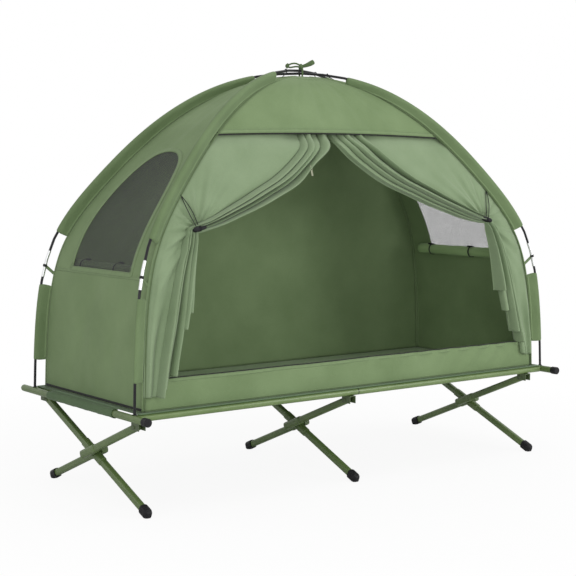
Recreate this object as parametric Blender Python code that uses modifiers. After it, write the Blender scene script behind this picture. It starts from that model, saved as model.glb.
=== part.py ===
"""A tent cot: a folding cot on three crossing leg sets, with a two-pole dome tent standing on its end bars.

Metres, +X along the length, +Y to the rear, +Z up. The origin is on the floor under the middle.
"""

import math

import bmesh
import bpy
import numpy as np
from mathutils import Matrix, Vector

# Cot frame
COT_LENGTH = 1.93
COT_WIDTH = 0.90
BAR_DIAMETER = 0.025
RAIL_DIAMETER = 0.025
BAR_OVERHANG = 0.090
RAIL_HEIGHT = 0.3345
RAIL_SEAM_X = -0.015
JOINER_DIAMETER = 0.020
JOINER_LENGTH = 0.120
PEG_LENGTH = 0.040
CAP_LENGTH = 0.026
CAP_WALL = 0.0018
BAR_END_ROUND = 0.008
# The bar's rounded rear end: back from the tip of the rounding, and the radius there
BAR_TIP_SHARES = ((1.0, 1.0), (0.4, 0.86), (0.0, 0.45))
GAP = 0.0003
OVERRUN = 0.01

# Bed
BED_CLOTH = 0.0015
BED_NOTCH_LENGTH = 0.050
BED_CORNER_WIDTH = 0.125

# Legs
LEFT_SET_INSET = 0.0475
RIGHT_SET_INSET = 0.0625
MID_SET_X = -0.020
LEG_WIDTH = 0.025
LEG_DEPTH = 0.022
LEG_CORNER = 0.006
PIVOT_DROP = 0.030
PIVOT_INSET = 0.015
CROSSING_ABOVE_MIDDLE = 0.00975
FOOT_INSET = 0.002
LEG_TOP_PAST_PIVOT = 0.008
LEG_TOP_TAPER = 0.003
HUB_WALL = 0.0025
HUB_STEP = 0.0020
HUB_HALF_LENGTH = 0.072
HUB_STEP_LENGTH = 0.0042
HUB_NOSE_SHARE = 0.45
HUB_PIN_DIAMETER = 0.010
BOOT_WALL = 0.0042
BOOT_LENGTH = 0.030
BOOT_TOE = 0.014
# The boot's toe: along it, and its wall there
BOOT_TOE_SHARES = (0.6, 0.4)
BOOT_TIP_SHARE = 0.6
BRACKET_SHEET = 0.0025
BRACKET_LENGTH = 0.046
BRACKET_LIP = 0.010
BOLT_DIAMETER = 0.006
BOLT_HEAD_DIAMETER = 0.012
BOLT_HEAD_THICKNESS = 0.003
BOLT_CROWN_SHARE = 0.8

# Tent poles
POLE_DIAMETER = 0.0095
POLE_FOOT_INSET_X = 0.0023
POLE_FOOT_INSET_Y = 0.0011
POLE_RISE = 1.1618
POLE_PIN_DIAMETER = 0.005
POLE_PIN_DEPTH = 0.010
POLE_RING_DIAMETER = 0.015
POLE_RING_THICKNESS = 0.002
# Across and up, every 15 degrees from a foot to the crossing, of the half span and the rise
POLE_ARCH_SHARES = (
    (1.0, 0.0),
    (0.9862, 0.2310),
    (0.9237, 0.4662),
    (0.7584, 0.6631),
    (0.5504, 0.8334),
    (0.2937, 0.9583),
    (0.0, 1.0),
)
ARCH_STEP_DEGREES = 15
FERRULE_START_DEGREES = 22.4
FERRULE_END_DEGREES = 27.6
POLE_TOP_DEGREES = 90
FERRULE_WALL = 0.0008
OVERRUN_DEGREES = 0.6
POLE_POINTS = 43

# Tent cloth
CLOTH = 0.0012
NET = 0.0008
TENT_FLOOR = 0.002
SEAM_INSET = 0.040
SEAM_INSET_TOP = 0.028
SEAM_EASE_DEGREES = 55
LONG_WALL_ROW_SHARE = 0.2
APEX_DEGREES = 88.6
WALL_ROWS = 23
SILL_HEIGHT = 0.100
VALANCE_EDGE = 1.266
VALANCE_BOW = 0.010
WINDOW_BOTTOM = 0.793
WINDOW_TOP = 1.207
NET_CLEAR = 0.10
WINDOW_ACROSS_SHARE = 0.574
WINDOW_POWER = 2.5

# Pole sleeves
UPPER_SLEEVE_DEGREES = (31.5, 81.0)
LOWER_SLEEVE_DEGREES = (5.7, 21.0)
UPPER_SLEEVE_HALF = 0.0125
LOWER_SLEEVE_HALF = 0.0080
UPPER_SLEEVE_RINGS = 15
LOWER_SLEEVE_RINGS = 6
SLEEVE_CLOTH = 0.0012
# The sleeve across the pole: inward of its nose or its depth, and its half width there
SLEEVE_NOSE_SHARES = ((-1.0, 0.35), (-0.4, 0.85))
SLEEVE_BODY_SHARES = ((0.22, 1.0), (0.5, 0.78), (0.8, 0.38))
STRAP_DEGREES = 24.6
STRAP_WIDTH = 0.010
STRAP_THICKNESS = 0.0015
STRAP_DROP_DEGREES = 1.2
STRAP_SEWN = 0.0009

# Rolled window covers
ROLL_DIAMETER = 0.046
ROLL_END_GAP = 0.089
ROLL_ABOVE_WINDOW_FOOT = 0.007
ROLL_TIE_PLACES = (0.165, -0.072)
ROLL_TIE_WIDTH = 0.006
ROLL_TIE_THICKNESS = 0.0015
ROLL_TOGGLE_LENGTH = 0.038
ROLL_TOGGLE_DIAMETER = 0.006
ROLL_TOGGLE_LIFT = 0.022
ROLL_END_SHARE = 0.25
# The roll drawn in by a tie: along it in tie widths, and the share of its radius there
ROLL_WAIST = ((-6.7, 1.0), (-1.0, 0.93), (1.0, 0.93), (6.7, 1.0))

# Door curtains
HEM_HEIGHT = 0.398
TOGGLE_ACROSS_SHARE = 0.7072
TOGGLE_Z = 0.945
TOGGLE_LENGTH = 0.062
TOGGLE_DIAMETER = 0.014
LOOP_ANCHOR_HEIGHT = 1.058
LOOP_CORD_DIAMETER = 0.003
FOLD_DEPTH = 0.013
FOLD_COUNT = 3
CURTAIN_GAP = 0.003
SEAM_TOGGLE_HEIGHT = 0.985
HEM_WIDTH = 0.105
CURTAIN_ROWS = 19
CURTAIN_COLUMNS = 21
TOGGLE_SHARE = 0.5
FLAT_SHARE = 0.42
BUNCH_SHARE = 0.62
SILL_CLEAR = 0.060
VALANCE_EASE_SHARE = 0.2
# The toggle along its length, and its radius there
TOGGLE_PROFILE_SHARES = ((-1.0, 0.5), (-0.8, 1.0), (0.0, 0.8), (0.8, 1.0), (1.0, 0.5))
LOOP_SPREAD_SHARE = 0.2
# The free edge from the valance to the toggle: across and up, of the run and the drop
SWAG_SHARES = (
    (0.0, 1.0),
    (0.04, 0.77),
    (0.213, 0.53),
    (0.41, 0.32),
    (0.62, 0.15),
    (0.81, 0.05),
    (1.0, 0.0),
)
# The free edge below the toggle: across and up, of the run and the drop to the hem
FALL_SHARES = ((0.0, 1.0), (0.30, 0.68), (0.62, 0.36), (1.0, 0.0))
HEM_STEP_SHARES = (0.97, 0.86, 0.62, 0.50)
ZIP_PULL_LENGTH = 0.022
ZIP_PULL_WIDTH = 0.008
ZIP_PULL_THICKNESS = 0.002
ZIP_PULL_DOWN_SHARE = 0.14

# Top tie
KNOT_DIAMETER = 0.020
TIE_CORD_DIAMETER = 0.004
BOW_HALF_WIDTH = 0.050
TAIL_DIAMETER = 0.016
TAIL_RISE = 0.45
TIE_LOOP_DIAMETER = 0.007
BOW_TURN_DEGREES = -36.7
# Along each piece, and its radius there
KNOT_PROFILE_SHARES = ((-1.0, 0.5), (-0.6, 0.9), (0.0, 1.0), (0.6, 0.9), (1.0, 0.5))
TAIL_PROFILE_SHARES = ((0.0, 0.5), (0.4, 0.8), (0.85, 1.0), (1.0, 0.5))
# The bow's loop: along the bow of its half width, and up of the knot
BOW_SHARES = (
    (0.0, 0.1),
    (-0.4, 0.75),
    (-0.9, 0.5),
    (-1.05, 0.1),
    (-0.85, -0.15),
    (-0.4, 0.05),
    (0.0, -0.1),
)

RAIL_SPACING = COT_WIDTH - 2 * BAR_OVERHANG
BAR_X = COT_LENGTH / 2 - BAR_DIAMETER / 2
BAR_TOP = RAIL_HEIGHT + BAR_DIAMETER / 2
RAIL_Y = RAIL_SPACING / 2
RAIL_RADIUS = RAIL_DIAMETER / 2
SLEEVE_LENGTH = RAIL_SPACING - 2 * BED_CORNER_WIDTH
LEG_SET_PLACES = {"left": LEFT_SET_INSET - BAR_X, "mid": MID_SET_X, "right": BAR_X - RIGHT_SET_INSET}
PIVOT_HEIGHT = RAIL_HEIGHT - PIVOT_DROP
CROSSING_HEIGHT = PIVOT_HEIGHT / 2 + CROSSING_ABOVE_MIDDLE
PIVOT_Y = RAIL_Y - PIVOT_INSET
FOOT_HALF_SPREAD = RAIL_Y - FOOT_INSET
POLE_FOOT_X = BAR_X - POLE_FOOT_INSET_X
POLE_FOOT_Y = RAIL_Y - POLE_FOOT_INSET_Y
HALF_SPAN = math.hypot(POLE_FOOT_X, POLE_FOOT_Y)
POLE_FOOT_HEIGHT = BAR_TOP + GAP + POLE_RING_THICKNESS + GAP
BED_BOTTOM = BAR_TOP + GAP
BED_TOP = BED_BOTTOM + BED_CLOTH
TENT_FLOOR_BOTTOM = BED_TOP + GAP
WALL_FOOT = TENT_FLOOR_BOTTOM + TENT_FLOOR + GAP
WINDOW_HALF_WIDTH = WINDOW_ACROSS_SHARE * POLE_FOOT_Y
ROLL_HEIGHT = WINDOW_BOTTOM + ROLL_ABOVE_WINDOW_FOOT
TOGGLE_X = TOGGLE_ACROSS_SHARE * POLE_FOOT_X
SHEATH_HALF_DEPTH = LEG_DEPTH / 2 + HUB_WALL
LEG_OFFSET = 2 * SHEATH_HALF_DEPTH + GAP


def clear_scene():
    for old in list(bpy.data.objects):
        bpy.data.objects.remove(old, do_unlink=True)


def new_collection(name, hidden=False):
    made = bpy.data.collections.new(name)
    bpy.context.scene.collection.children.link(made)
    made.hide_render = hidden
    return made


def material(name, colour, roughness, metallic=0.0):
    made = bpy.data.materials.new(name)
    made.use_nodes = True
    shader = made.node_tree.nodes["Principled BSDF"]
    shader.inputs["Base Color"].default_value = (*colour, 1.0)
    shader.inputs["Roughness"].default_value = roughness
    shader.inputs["Metallic"].default_value = metallic
    made.diffuse_color = (*colour, 1.0)
    return made


clear_scene()
PARTS = new_collection("Tent cot")
CUTTERS = new_collection("Cutters", hidden=True)
OLIVE = ("olive painted steel", (0.13, 0.20, 0.06), 0.45, 0.0)
RAIL_GREEN = ("light olive painted steel", (0.20, 0.29, 0.10), 0.42, 0.0)
BLACK = ("black plastic", (0.02, 0.02, 0.022), 0.5, 0.0)
STEEL = ("bright steel", (0.60, 0.60, 0.60), 0.3, 1.0)
TENT_GREEN = ("sage tent cloth", (0.16, 0.24, 0.11), 0.7, 0.0)
CURTAIN_GREEN = ("pale sage curtain cloth", (0.23, 0.33, 0.18), 0.7, 0.0)
BED_GREEN = ("teal green bed cloth", (0.11, 0.22, 0.12), 0.75, 0.0)
NET_GREY = ("dark grey net", (0.05, 0.05, 0.055), 0.8, 0.0)


def finish(body, name, look):
    """Makes one node from a bmesh of one or more closed bodies."""
    bmesh.ops.recalc_face_normals(body, faces=body.faces[:])
    mesh = bpy.data.meshes.new(name)
    body.to_mesh(mesh)
    body.free()
    mesh.shade_smooth()
    mesh.set_sharp_from_angle(angle=math.radians(35))
    made = bpy.data.objects.new(name, mesh)
    PARTS.objects.link(made)
    mesh.materials.append(material(name + " " + look[0], *look[1:]))
    return made


def boolean(node, body, operation):
    """Cuts, joins or keeps the overlap with a hidden helper body."""
    bmesh.ops.recalc_face_normals(body, faces=body.faces[:])
    name = node.name + " " + operation.lower()
    mesh = bpy.data.meshes.new(name)
    body.to_mesh(mesh)
    body.free()
    helper = bpy.data.objects.new(name, mesh)
    CUTTERS.objects.link(helper)
    helper.hide_render = True
    helper.display_type = "WIRE"
    step = node.modifiers.new(name, "BOOLEAN")
    step.operation = operation
    step.solver = "EXACT"
    step.object = helper
    return step


def skin(body, rings):
    """A closed body through rings of equal counts of points, capped at both ends."""
    rows = []
    for ring in rings:
        rows.append([body.verts.new(point) for point in ring])
    count = len(rows[0])
    for low, high in zip(rows[:-1], rows[1:]):
        for k in range(count):
            after = (k + 1) % count
            body.faces.new((low[k], low[after], high[after], high[k]))
    body.faces.new(rows[0])
    body.faces.new(rows[-1])
    return body


def turned(body, start, direction, profile, sides):
    """A closed turned body: profile lists (distance along, radius) from the start point."""
    along = Vector(direction).normalized()
    across = along.orthogonal().normalized()
    beside = along.cross(across)
    rings = []
    for distance, radius in profile:
        centre = Vector(start) + along * distance
        ring = []
        for k in range(sides):
            turn = 2 * math.pi * k / sides
            ring.append(centre + radius * (math.cos(turn) * across + math.sin(turn) * beside))
        rings.append(ring)
    return skin(body, rings)


def rod(body, start, end, diameter, sides=16):
    span = Vector(end) - Vector(start)
    profile = ((0, diameter / 2), (span.length, diameter / 2))
    return turned(body, start, span, profile, sides)


def box(body, low, high):
    centre = (Vector(low) + Vector(high)) / 2
    made = bmesh.ops.create_cube(body, size=1)
    size = Vector(high) - Vector(low)
    bmesh.ops.scale(body, vec=size, verts=made["verts"])
    bmesh.ops.translate(body, vec=centre, verts=made["verts"])
    return body


def rounded_section(half_a, half_b, corner, steps=2):
    """Points of a rounded rectangle, half_a along the first axis and half_b along the second."""
    points = []
    for quarter, (sign_a, sign_b) in enumerate(((1, 1), (-1, 1), (-1, -1), (1, -1))):
        for step in range(steps + 1):
            turn = math.pi / 2 * (quarter + step / steps)
            a = sign_a * (half_a - corner) + corner * math.cos(turn)
            b = sign_b * (half_b - corner) + corner * math.sin(turn)
            points.append((a, b))
    return points


def leg_rings(x, place, direction, stations, grow=0.0):
    """Rings of a leg's rounded section at distances along its direction in the plane x."""
    along = Vector((0, direction[0], direction[1])).normalized()
    beside = Vector((0, -along.z, along.y))
    rings = []
    for distance, extra in stations:
        more = grow + extra
        section = rounded_section(LEG_DEPTH / 2 + more, LEG_WIDTH / 2 + more, LEG_CORNER + more)
        centre = Vector((x, place[0], place[1])) + along * distance
        rings.append([centre + Vector((a, 0, 0)) + beside * b for a, b in section])
    return rings


def smooth_curve(values):
    """A natural cubic curve through values at 0, 1, 2 and so on."""
    values = np.array(values, float)
    count = len(values)
    system = np.eye(count)
    right = np.zeros(count)
    for k in range(1, count - 1):
        system[k, k - 1 : k + 2] = (1, 4, 1)
        right[k] = 6 * (values[k - 1] - 2 * values[k] + values[k + 1])
    bends = np.linalg.solve(system, right)

    def at(place):
        low = int(min(max(math.floor(place), 0), count - 2))
        part = place - low
        rest = 1 - part
        line = rest * values[low] + part * values[low + 1]
        bow = (rest**3 - rest) * bends[low] + (part**3 - part) * bends[low + 1]
        return float(line + bow / 6)

    return at


ACROSS_SHARES = [pair[0] for pair in POLE_ARCH_SHARES]
UP_SHARES = [pair[1] for pair in POLE_ARCH_SHARES]
across_share = smooth_curve(ACROSS_SHARES + [-share for share in ACROSS_SHARES[-2::-1]])
up_share = smooth_curve(UP_SHARES + UP_SHARES[-2::-1])


def arch(degrees, shift=0.0):
    """The pole's centre line: distance from the middle, and height, at an angle from a foot."""
    place = degrees / ARCH_STEP_DEGREES
    lift = shift * math.sin(math.radians(degrees)) ** 8
    return across_share(place) * HALF_SPAN, BAR_TOP + up_share(place) * POLE_RISE + lift


def arch_outward(degrees):
    """The unit direction out of the arch, square to the pole."""
    step = 0.5
    s0, z0 = arch(degrees - step)
    s1, z1 = arch(degrees + step)
    size = math.hypot(s1 - s0, z1 - z0)
    return (z1 - z0) / size, -(s1 - s0) / size


def seam(degrees):
    """The corner seam of the tent, inside the pole."""
    s, z = arch(degrees)
    ease = max(0.0, (degrees - SEAM_EASE_DEGREES) / (POLE_TOP_DEGREES - SEAM_EASE_DEGREES))
    inset = SEAM_INSET + (SEAM_INSET_TOP - SEAM_INSET) * ease
    away_s, away_z = arch_outward(degrees)
    return s - inset * away_s, z - inset * away_z


SEAM_ANGLES = np.linspace(0.0, APEX_DEGREES, WALL_ROWS)
SEAM_LINE = np.array([seam(angle) for angle in SEAM_ANGLES])


def reach(z):
    """Distance of the corner seam from the middle at a height, straight between the wall rows."""
    return float(np.interp(z, SEAM_LINE[:, 1], SEAM_LINE[:, 0]))


def half_length(z):
    return reach(z) * POLE_FOOT_X / HALF_SPAN


def half_width(z):
    return reach(z) * POLE_FOOT_Y / HALF_SPAN


def slope_cosine(extent, z):
    """How far a wall leans: the level share of its thickness, as 1 over the sine of its slope."""
    step = 0.002
    lean = (extent(z - step) - extent(z + step)) / (2 * step)
    return math.hypot(1, lean)


APEX_HEIGHT = float(SEAM_LINE[-1, 1])
LONG_WALL_TOP = float(np.interp(LONG_WALL_ROW_SHARE, (0, 1), (SEAM_LINE[-2, 1], SEAM_LINE[-1, 1])))


def wall_heights(low, high):
    """The heights of the wall rows between two heights, and those two."""
    apart = 4 * GAP
    between = [float(z) for z in SEAM_LINE[:, 1] if low + apart < z < high - apart]
    return [low] + between + [high]


def sheet(name, rows, thickness, look, flip=False, even=True):
    """An open grid of points given its thickness."""
    body = bmesh.new()
    made = [[body.verts.new(point) for point in row] for row in rows]
    for low, high in zip(made[:-1], made[1:]):
        for k in range(len(low) - 1):
            corners = [low[k], low[k + 1], high[k + 1], high[k]]
            if flip:
                corners.reverse()
            body.faces.new(corners)
    mesh = bpy.data.meshes.new(name)
    body.to_mesh(mesh)
    body.free()
    mesh.shade_smooth()
    made = bpy.data.objects.new(name, mesh)
    PARTS.objects.link(made)
    mesh.materials.append(material(name + " " + look[0], *look[1:]))
    wall = made.modifiers.new("cloth thickness", "SOLIDIFY")
    wall.thickness = thickness
    wall.offset = -1.0
    wall.use_even_offset = even
    return made


def build_bars():
    """End bars across the cot, with a peg for the rear rail and holes for the pole pins."""
    for side, sign in (("left", -1), ("right", 1)):
        x = sign * BAR_X
        body = bmesh.new()
        radius = BAR_DIAMETER / 2
        front = -COT_WIDTH / 2 + CAP_WALL + GAP
        length = COT_WIDTH / 2 - front
        profile = [(0, radius)]
        profile += [(length - BAR_END_ROUND * back, radius * wide) for back, wide in BAR_TIP_SHARES]
        turned(body, (x, front, RAIL_HEIGHT), (0, 1, 0), profile, 20)
        bar = finish(body, "end_bar_" + side, OLIVE)
        peg = bmesh.new()
        peg_x = x - sign * (radius + PEG_LENGTH)
        rod(peg, (x, RAIL_Y, RAIL_HEIGHT), (peg_x, RAIL_Y, RAIL_HEIGHT), JOINER_DIAMETER)
        boolean(bar, peg, "UNION")
        holes = bmesh.new()
        for y in (-POLE_FOOT_Y, POLE_FOOT_Y):
            foot = sign * POLE_FOOT_X
            low = BAR_TOP - POLE_PIN_DEPTH - 2 * GAP
            rod(holes, (foot, y, low), (foot, y, BAR_TOP + OVERRUN), POLE_PIN_DIAMETER + 2 * GAP, 12)
        boolean(bar, holes, "DIFFERENCE")
        caps_outer = radius + GAP + CAP_WALL
        body = bmesh.new()
        profile = ((0, caps_outer - CAP_WALL), (CAP_WALL, caps_outer), (CAP_LENGTH, caps_outer))
        turned(body, (x, -COT_WIDTH / 2, RAIL_HEIGHT), (0, 1, 0), profile, 20)
        cap = finish(body, "end_cap_" + side, BLACK)
        socket = bmesh.new()
        start = (x, -COT_WIDTH / 2 + CAP_WALL, RAIL_HEIGHT)
        end = (x, -COT_WIDTH / 2 + CAP_LENGTH + OVERRUN, RAIL_HEIGHT)
        rod(socket, start, end, BAR_DIAMETER + 2 * GAP, 20)
        boolean(cap, socket, "DIFFERENCE")


def build_rails():
    """Two rails of two halves each, coped round the end bars, with a joiner inside.

    The front rail swings along the end bars as the legs fold, so its ends clear the bed sleeves.
    """
    rear_clear = GAP
    front_clear = GAP + BED_CLOTH + GAP
    for place, y, clear in (("rear", RAIL_Y, rear_clear), ("front", -RAIL_Y, front_clear)):
        for side, sign in (("left", -1), ("right", 1)):
            body = bmesh.new()
            inner = RAIL_SEAM_X + sign * GAP / 2
            rod(body, (sign * BAR_X, y, RAIL_HEIGHT), (inner, y, RAIL_HEIGHT), RAIL_DIAMETER, 20)
            rail = finish(body, f"{place}_rail_{side}", RAIL_GREEN)
            cope = bmesh.new()
            ends = RAIL_RADIUS + OVERRUN
            start = (sign * BAR_X, y - ends, RAIL_HEIGHT)
            rod(cope, start, (sign * BAR_X, y + ends, RAIL_HEIGHT), BAR_DIAMETER + 2 * clear, 20)
            boolean(rail, cope, "DIFFERENCE")
            trim = bmesh.new()
            edge = sign * (BAR_X - BAR_DIAMETER / 4)
            if place == "front":
                edge = sign * (POLE_FOOT_X - POLE_RING_DIAMETER / 2 - 2 * GAP)
            beyond = sign * (BAR_X + BAR_DIAMETER)
            low = (min(edge, beyond), y - ends, RAIL_HEIGHT - ends)
            box(trim, low, (max(edge, beyond), y + ends, RAIL_HEIGHT + ends))
            boolean(rail, trim, "DIFFERENCE")
            bore = bmesh.new()
            depth = JOINER_LENGTH / 2 + GAP
            bore_diameter = JOINER_DIAMETER + 2 * GAP
            start = (RAIL_SEAM_X - sign * OVERRUN, y, RAIL_HEIGHT)
            rod(bore, start, (RAIL_SEAM_X + sign * depth, y, RAIL_HEIGHT), bore_diameter)
            if place == "rear":
                tip = sign * (BAR_X - BAR_DIAMETER / 2 - PEG_LENGTH - GAP)
                rod(bore, (sign * BAR_X, y, RAIL_HEIGHT), (tip, y, RAIL_HEIGHT), bore_diameter)
            boolean(rail, bore, "DIFFERENCE")
        joiner = bmesh.new()
        half = JOINER_LENGTH / 2
        start = (RAIL_SEAM_X - half, y, RAIL_HEIGHT)
        rod(joiner, start, (RAIL_SEAM_X + half, y, RAIL_HEIGHT), JOINER_DIAMETER)
        finish(joiner, place + "_rail_joiner", STEEL)


def build_bed():
    """The bed sheet on the rails, with notched corners and a sewn sleeve round each end bar."""
    sleeve_outer = BAR_DIAMETER / 2 + GAP + BED_CLOTH
    side_y = RAIL_Y + RAIL_RADIUS
    notch_x = BAR_X - BED_NOTCH_LENGTH
    notch_y = SLEEVE_LENGTH / 2
    outline = [
        (BAR_X, -notch_y),
        (BAR_X, notch_y),
        (notch_x, side_y),
        (-notch_x, side_y),
        (-BAR_X, notch_y),
        (-BAR_X, -notch_y),
        (-notch_x, -side_y),
        (notch_x, -side_y),
    ]
    rings = [[(x, y, z) for x, y in outline] for z in (BED_BOTTOM, BED_TOP)]
    bed = finish(skin(bmesh.new(), rings), "bed_sheet", BED_GREEN)
    for sign in (-1, 1):
        x = sign * BAR_X
        sleeve = bmesh.new()
        rod(sleeve, (x, -notch_y, RAIL_HEIGHT), (x, notch_y, RAIL_HEIGHT), 2 * sleeve_outer, 20)
        boolean(bed, sleeve, "UNION")
    for sign in (-1, 1):
        x = sign * BAR_X
        core = bmesh.new()
        end = notch_y + OVERRUN
        rod(core, (x, -end, RAIL_HEIGHT), (x, end, RAIL_HEIGHT), BAR_DIAMETER + 2 * GAP, 20)
        boolean(bed, core, "DIFFERENCE")


def bolt_profile(half):
    """A bolt from head to nut, seated against cheeks that reach half either side of the middle."""
    head = BOLT_HEAD_DIAMETER / 2
    shank = BOLT_DIAMETER / 2
    thick = BOLT_HEAD_THICKNESS
    seat = half - BRACKET_SHEET / 4
    return (
        (-half - thick, head * BOLT_CROWN_SHARE),
        (-half - thick / 2, head),
        (-seat, head),
        (-seat, shank),
        (seat, shank),
        (seat, head),
        (half + thick, head),
    )


def build_brackets():
    """A channel under each rail at each leg top, with the bolt that the leg turns on."""
    inner = LEG_DEPTH / 2 + GAP
    outer = inner + BRACKET_SHEET
    top = RAIL_HEIGHT - RAIL_RADIUS - GAP
    web = top - BRACKET_SHEET
    low = PIVOT_HEIGHT - BRACKET_LIP
    for place, sign, shift in (("rear", 1, 0), ("front", -1, -LEG_OFFSET)):
        for side, x0 in LEG_SET_PLACES.items():
            x = x0 + shift
            y = sign * (RAIL_Y + PIVOT_Y) / 2
            outline = [
                (x - outer, top),
                (x + outer, top),
                (x + outer, low),
                (x + inner, low),
                (x + inner, web),
                (x - inner, web),
                (x - inner, low),
                (x - outer, low),
            ]
            ends = (y - BRACKET_LENGTH / 2, y + BRACKET_LENGTH / 2)
            rings = [[(px, end, pz) for px, pz in outline] for end in ends]
            node = finish(skin(bmesh.new(), rings), f"{place}_bracket_{side}", BLACK)
            bolt = bmesh.new()
            turned(bolt, (x, sign * PIVOT_Y, PIVOT_HEIGHT), (1, 0, 0), bolt_profile(outer), 12)
            boolean(node, bolt, "UNION")


def leg_bore(node, x, y, z, diameter):
    bore = bmesh.new()
    half = LEG_DEPTH + HUB_WALL
    rod(bore, (x - half, y, z), (x + half, y, z), diameter, 12)
    boolean(node, bore, "DIFFERENCE")


def boot(name, x, place, direction, foot_distance):
    """A rubber boot over a leg's foot, cut flat where it stands."""
    body = bmesh.new()
    tip = foot_distance + GAP
    stations = (
        (foot_distance - BOOT_LENGTH, BOOT_WALL + GAP),
        (tip, BOOT_WALL + GAP),
        (tip + BOOT_TOE * BOOT_TOE_SHARES[0], BOOT_WALL * BOOT_TOE_SHARES[1]),
        (tip + BOOT_TOE, -LEG_CORNER * BOOT_TIP_SHARE),
    )
    skin(body, leg_rings(x, place, direction, stations))
    node = finish(body, name, BLACK)
    socket = bmesh.new()
    stations = ((foot_distance - BOOT_LENGTH - OVERRUN, GAP), (tip, GAP))
    skin(socket, leg_rings(x, place, direction, stations))
    boolean(node, socket, "DIFFERENCE")
    ground = bmesh.new()
    big = BOOT_LENGTH * 3
    y = place[0] + direction[0] * tip
    box(ground, (x - big, y - big, -big), (x + big, y + big, 0))
    boolean(node, ground, "DIFFERENCE")
    return node


def sheath_stations(start, end):
    """Rings of a hub sheath that steps up from the tube at both ends."""
    return (
        (start, HUB_WALL - HUB_STEP),
        (start + HUB_STEP_LENGTH, HUB_WALL),
        (end - HUB_STEP_LENGTH, HUB_WALL),
        (end, HUB_WALL - HUB_STEP),
    )


def build_leg_set(side, x0):
    """One crossing pair: leg A is straight, leg B is two offset halves joined by its hub."""
    rise = PIVOT_HEIGHT - CROSSING_HEIGHT
    size = math.hypot(PIVOT_Y, rise)
    down_front = (-PIVOT_Y / size, -rise / size)
    down_rear = (PIVOT_Y / size, -rise / size)
    foot = FOOT_HALF_SPREAD * size / PIVOT_Y
    centre = (0.0, CROSSING_HEIGHT)
    top = size + LEG_TOP_PAST_PIVOT
    shoulder = top - LEG_TOP_PAST_PIVOT / 2

    # Leg A, from the rear rail down to the front foot, with the hub moulding on it
    body = bmesh.new()
    stations = ((-top, -LEG_TOP_TAPER), (-shoulder, 0), (foot, 0))
    skin(body, leg_rings(x0, centre, down_front, stations))
    leg = finish(body, "leg_a_" + side, OLIVE)
    sheath = bmesh.new()
    skin(sheath, leg_rings(x0, centre, down_front, sheath_stations(-HUB_HALF_LENGTH, HUB_HALF_LENGTH)))
    boolean(leg, sheath, "UNION")
    leg_bore(leg, x0, PIVOT_Y, PIVOT_HEIGHT, BOLT_DIAMETER + 2 * GAP)
    leg_bore(leg, x0, 0, CROSSING_HEIGHT, HUB_PIN_DIAMETER + 2 * GAP)
    boot("boot_a_" + side, x0, centre, down_front, foot)

    # Leg B, its lower half beyond leg A and its upper half before it, joined by the hub's pin
    low_x = x0 + LEG_OFFSET
    high_x = x0 - LEG_OFFSET
    nose = HUB_HALF_LENGTH * HUB_NOSE_SHARE
    body = bmesh.new()
    skin(body, leg_rings(low_x, centre, down_rear, ((0, 0), (foot, 0))))
    leg = finish(body, "leg_b_" + side, OLIVE)
    upper = bmesh.new()
    stations = ((-top, -LEG_TOP_TAPER), (-shoulder, 0), (0, 0))
    skin(upper, leg_rings(high_x, centre, down_rear, stations))
    sheath = bmesh.new()
    skin(sheath, leg_rings(low_x, centre, down_rear, sheath_stations(-nose, HUB_HALF_LENGTH)))
    other = bmesh.new()
    skin(other, leg_rings(high_x, centre, down_rear, sheath_stations(-HUB_HALF_LENGTH, nose)))
    pin = bmesh.new()
    rod(pin, (high_x, 0, CROSSING_HEIGHT), (low_x, 0, CROSSING_HEIGHT), HUB_PIN_DIAMETER, 12)
    for more in (sheath, pin, other, upper):
        boolean(leg, more, "UNION")
    leg_bore(leg, high_x, -PIVOT_Y, PIVOT_HEIGHT, BOLT_DIAMETER + 2 * GAP)
    boot("boot_b_" + side, low_x, centre, down_rear, foot)


def pole_angles():
    """The angles from the foot where a pole has a point."""
    low = (POLE_FOOT_HEIGHT - BAR_TOP) / (arch(1)[1] - arch(0)[1])
    return np.linspace(low, 180 - low, POLE_POINTS)


def pole_path(start, end, side_x, side_y, lift):
    """Points of a pole between two angles from the foot at the signs side_x and side_y."""
    grid = pole_angles()
    line = np.array([arch(degrees, lift) for degrees in grid])
    inside = [degrees for degrees in grid if start < degrees < end]
    points = []
    for degrees in [start] + inside + [end]:
        s = float(np.interp(degrees, grid, line[:, 0]))
        z = float(np.interp(degrees, grid, line[:, 1]))
        points.append((side_x * s * POLE_FOOT_X / HALF_SPAN, side_y * s * POLE_FOOT_Y / HALF_SPAN, z))
    return points


def tube(body, points, diameter, sides=8):
    """A closed round tube along points."""
    points = [Vector(point) for point in points]
    rings = []
    beside = (points[1] - points[0]).orthogonal().normalized()
    for k, point in enumerate(points):
        before = points[max(k - 1, 0)]
        after = points[min(k + 1, len(points) - 1)]
        along = (after - before).normalized()
        beside = (beside - along * beside.dot(along)).normalized()
        other = along.cross(beside)
        ring = []
        for j in range(sides):
            turn = 2 * math.pi * j / sides
            ring.append(point + diameter / 2 * (math.cos(turn) * beside + math.sin(turn) * other))
        rings.append(ring)
    return skin(body, rings)


def pole_curve(name, points, diameter):
    """A pole as a curve with a round bevel and filled caps."""
    curve = bpy.data.curves.new(name, "CURVE")
    curve.dimensions = "3D"
    curve.bevel_depth = diameter / 2
    curve.bevel_resolution = 2
    curve.use_fill_caps = True
    line = curve.splines.new("POLY")
    line.points.add(len(points) - 1)
    for point, place in zip(line.points, points):
        point.co = (*place, 1.0)
    made = bpy.data.objects.new(name, curve)
    PARTS.objects.link(made)
    return made


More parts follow.
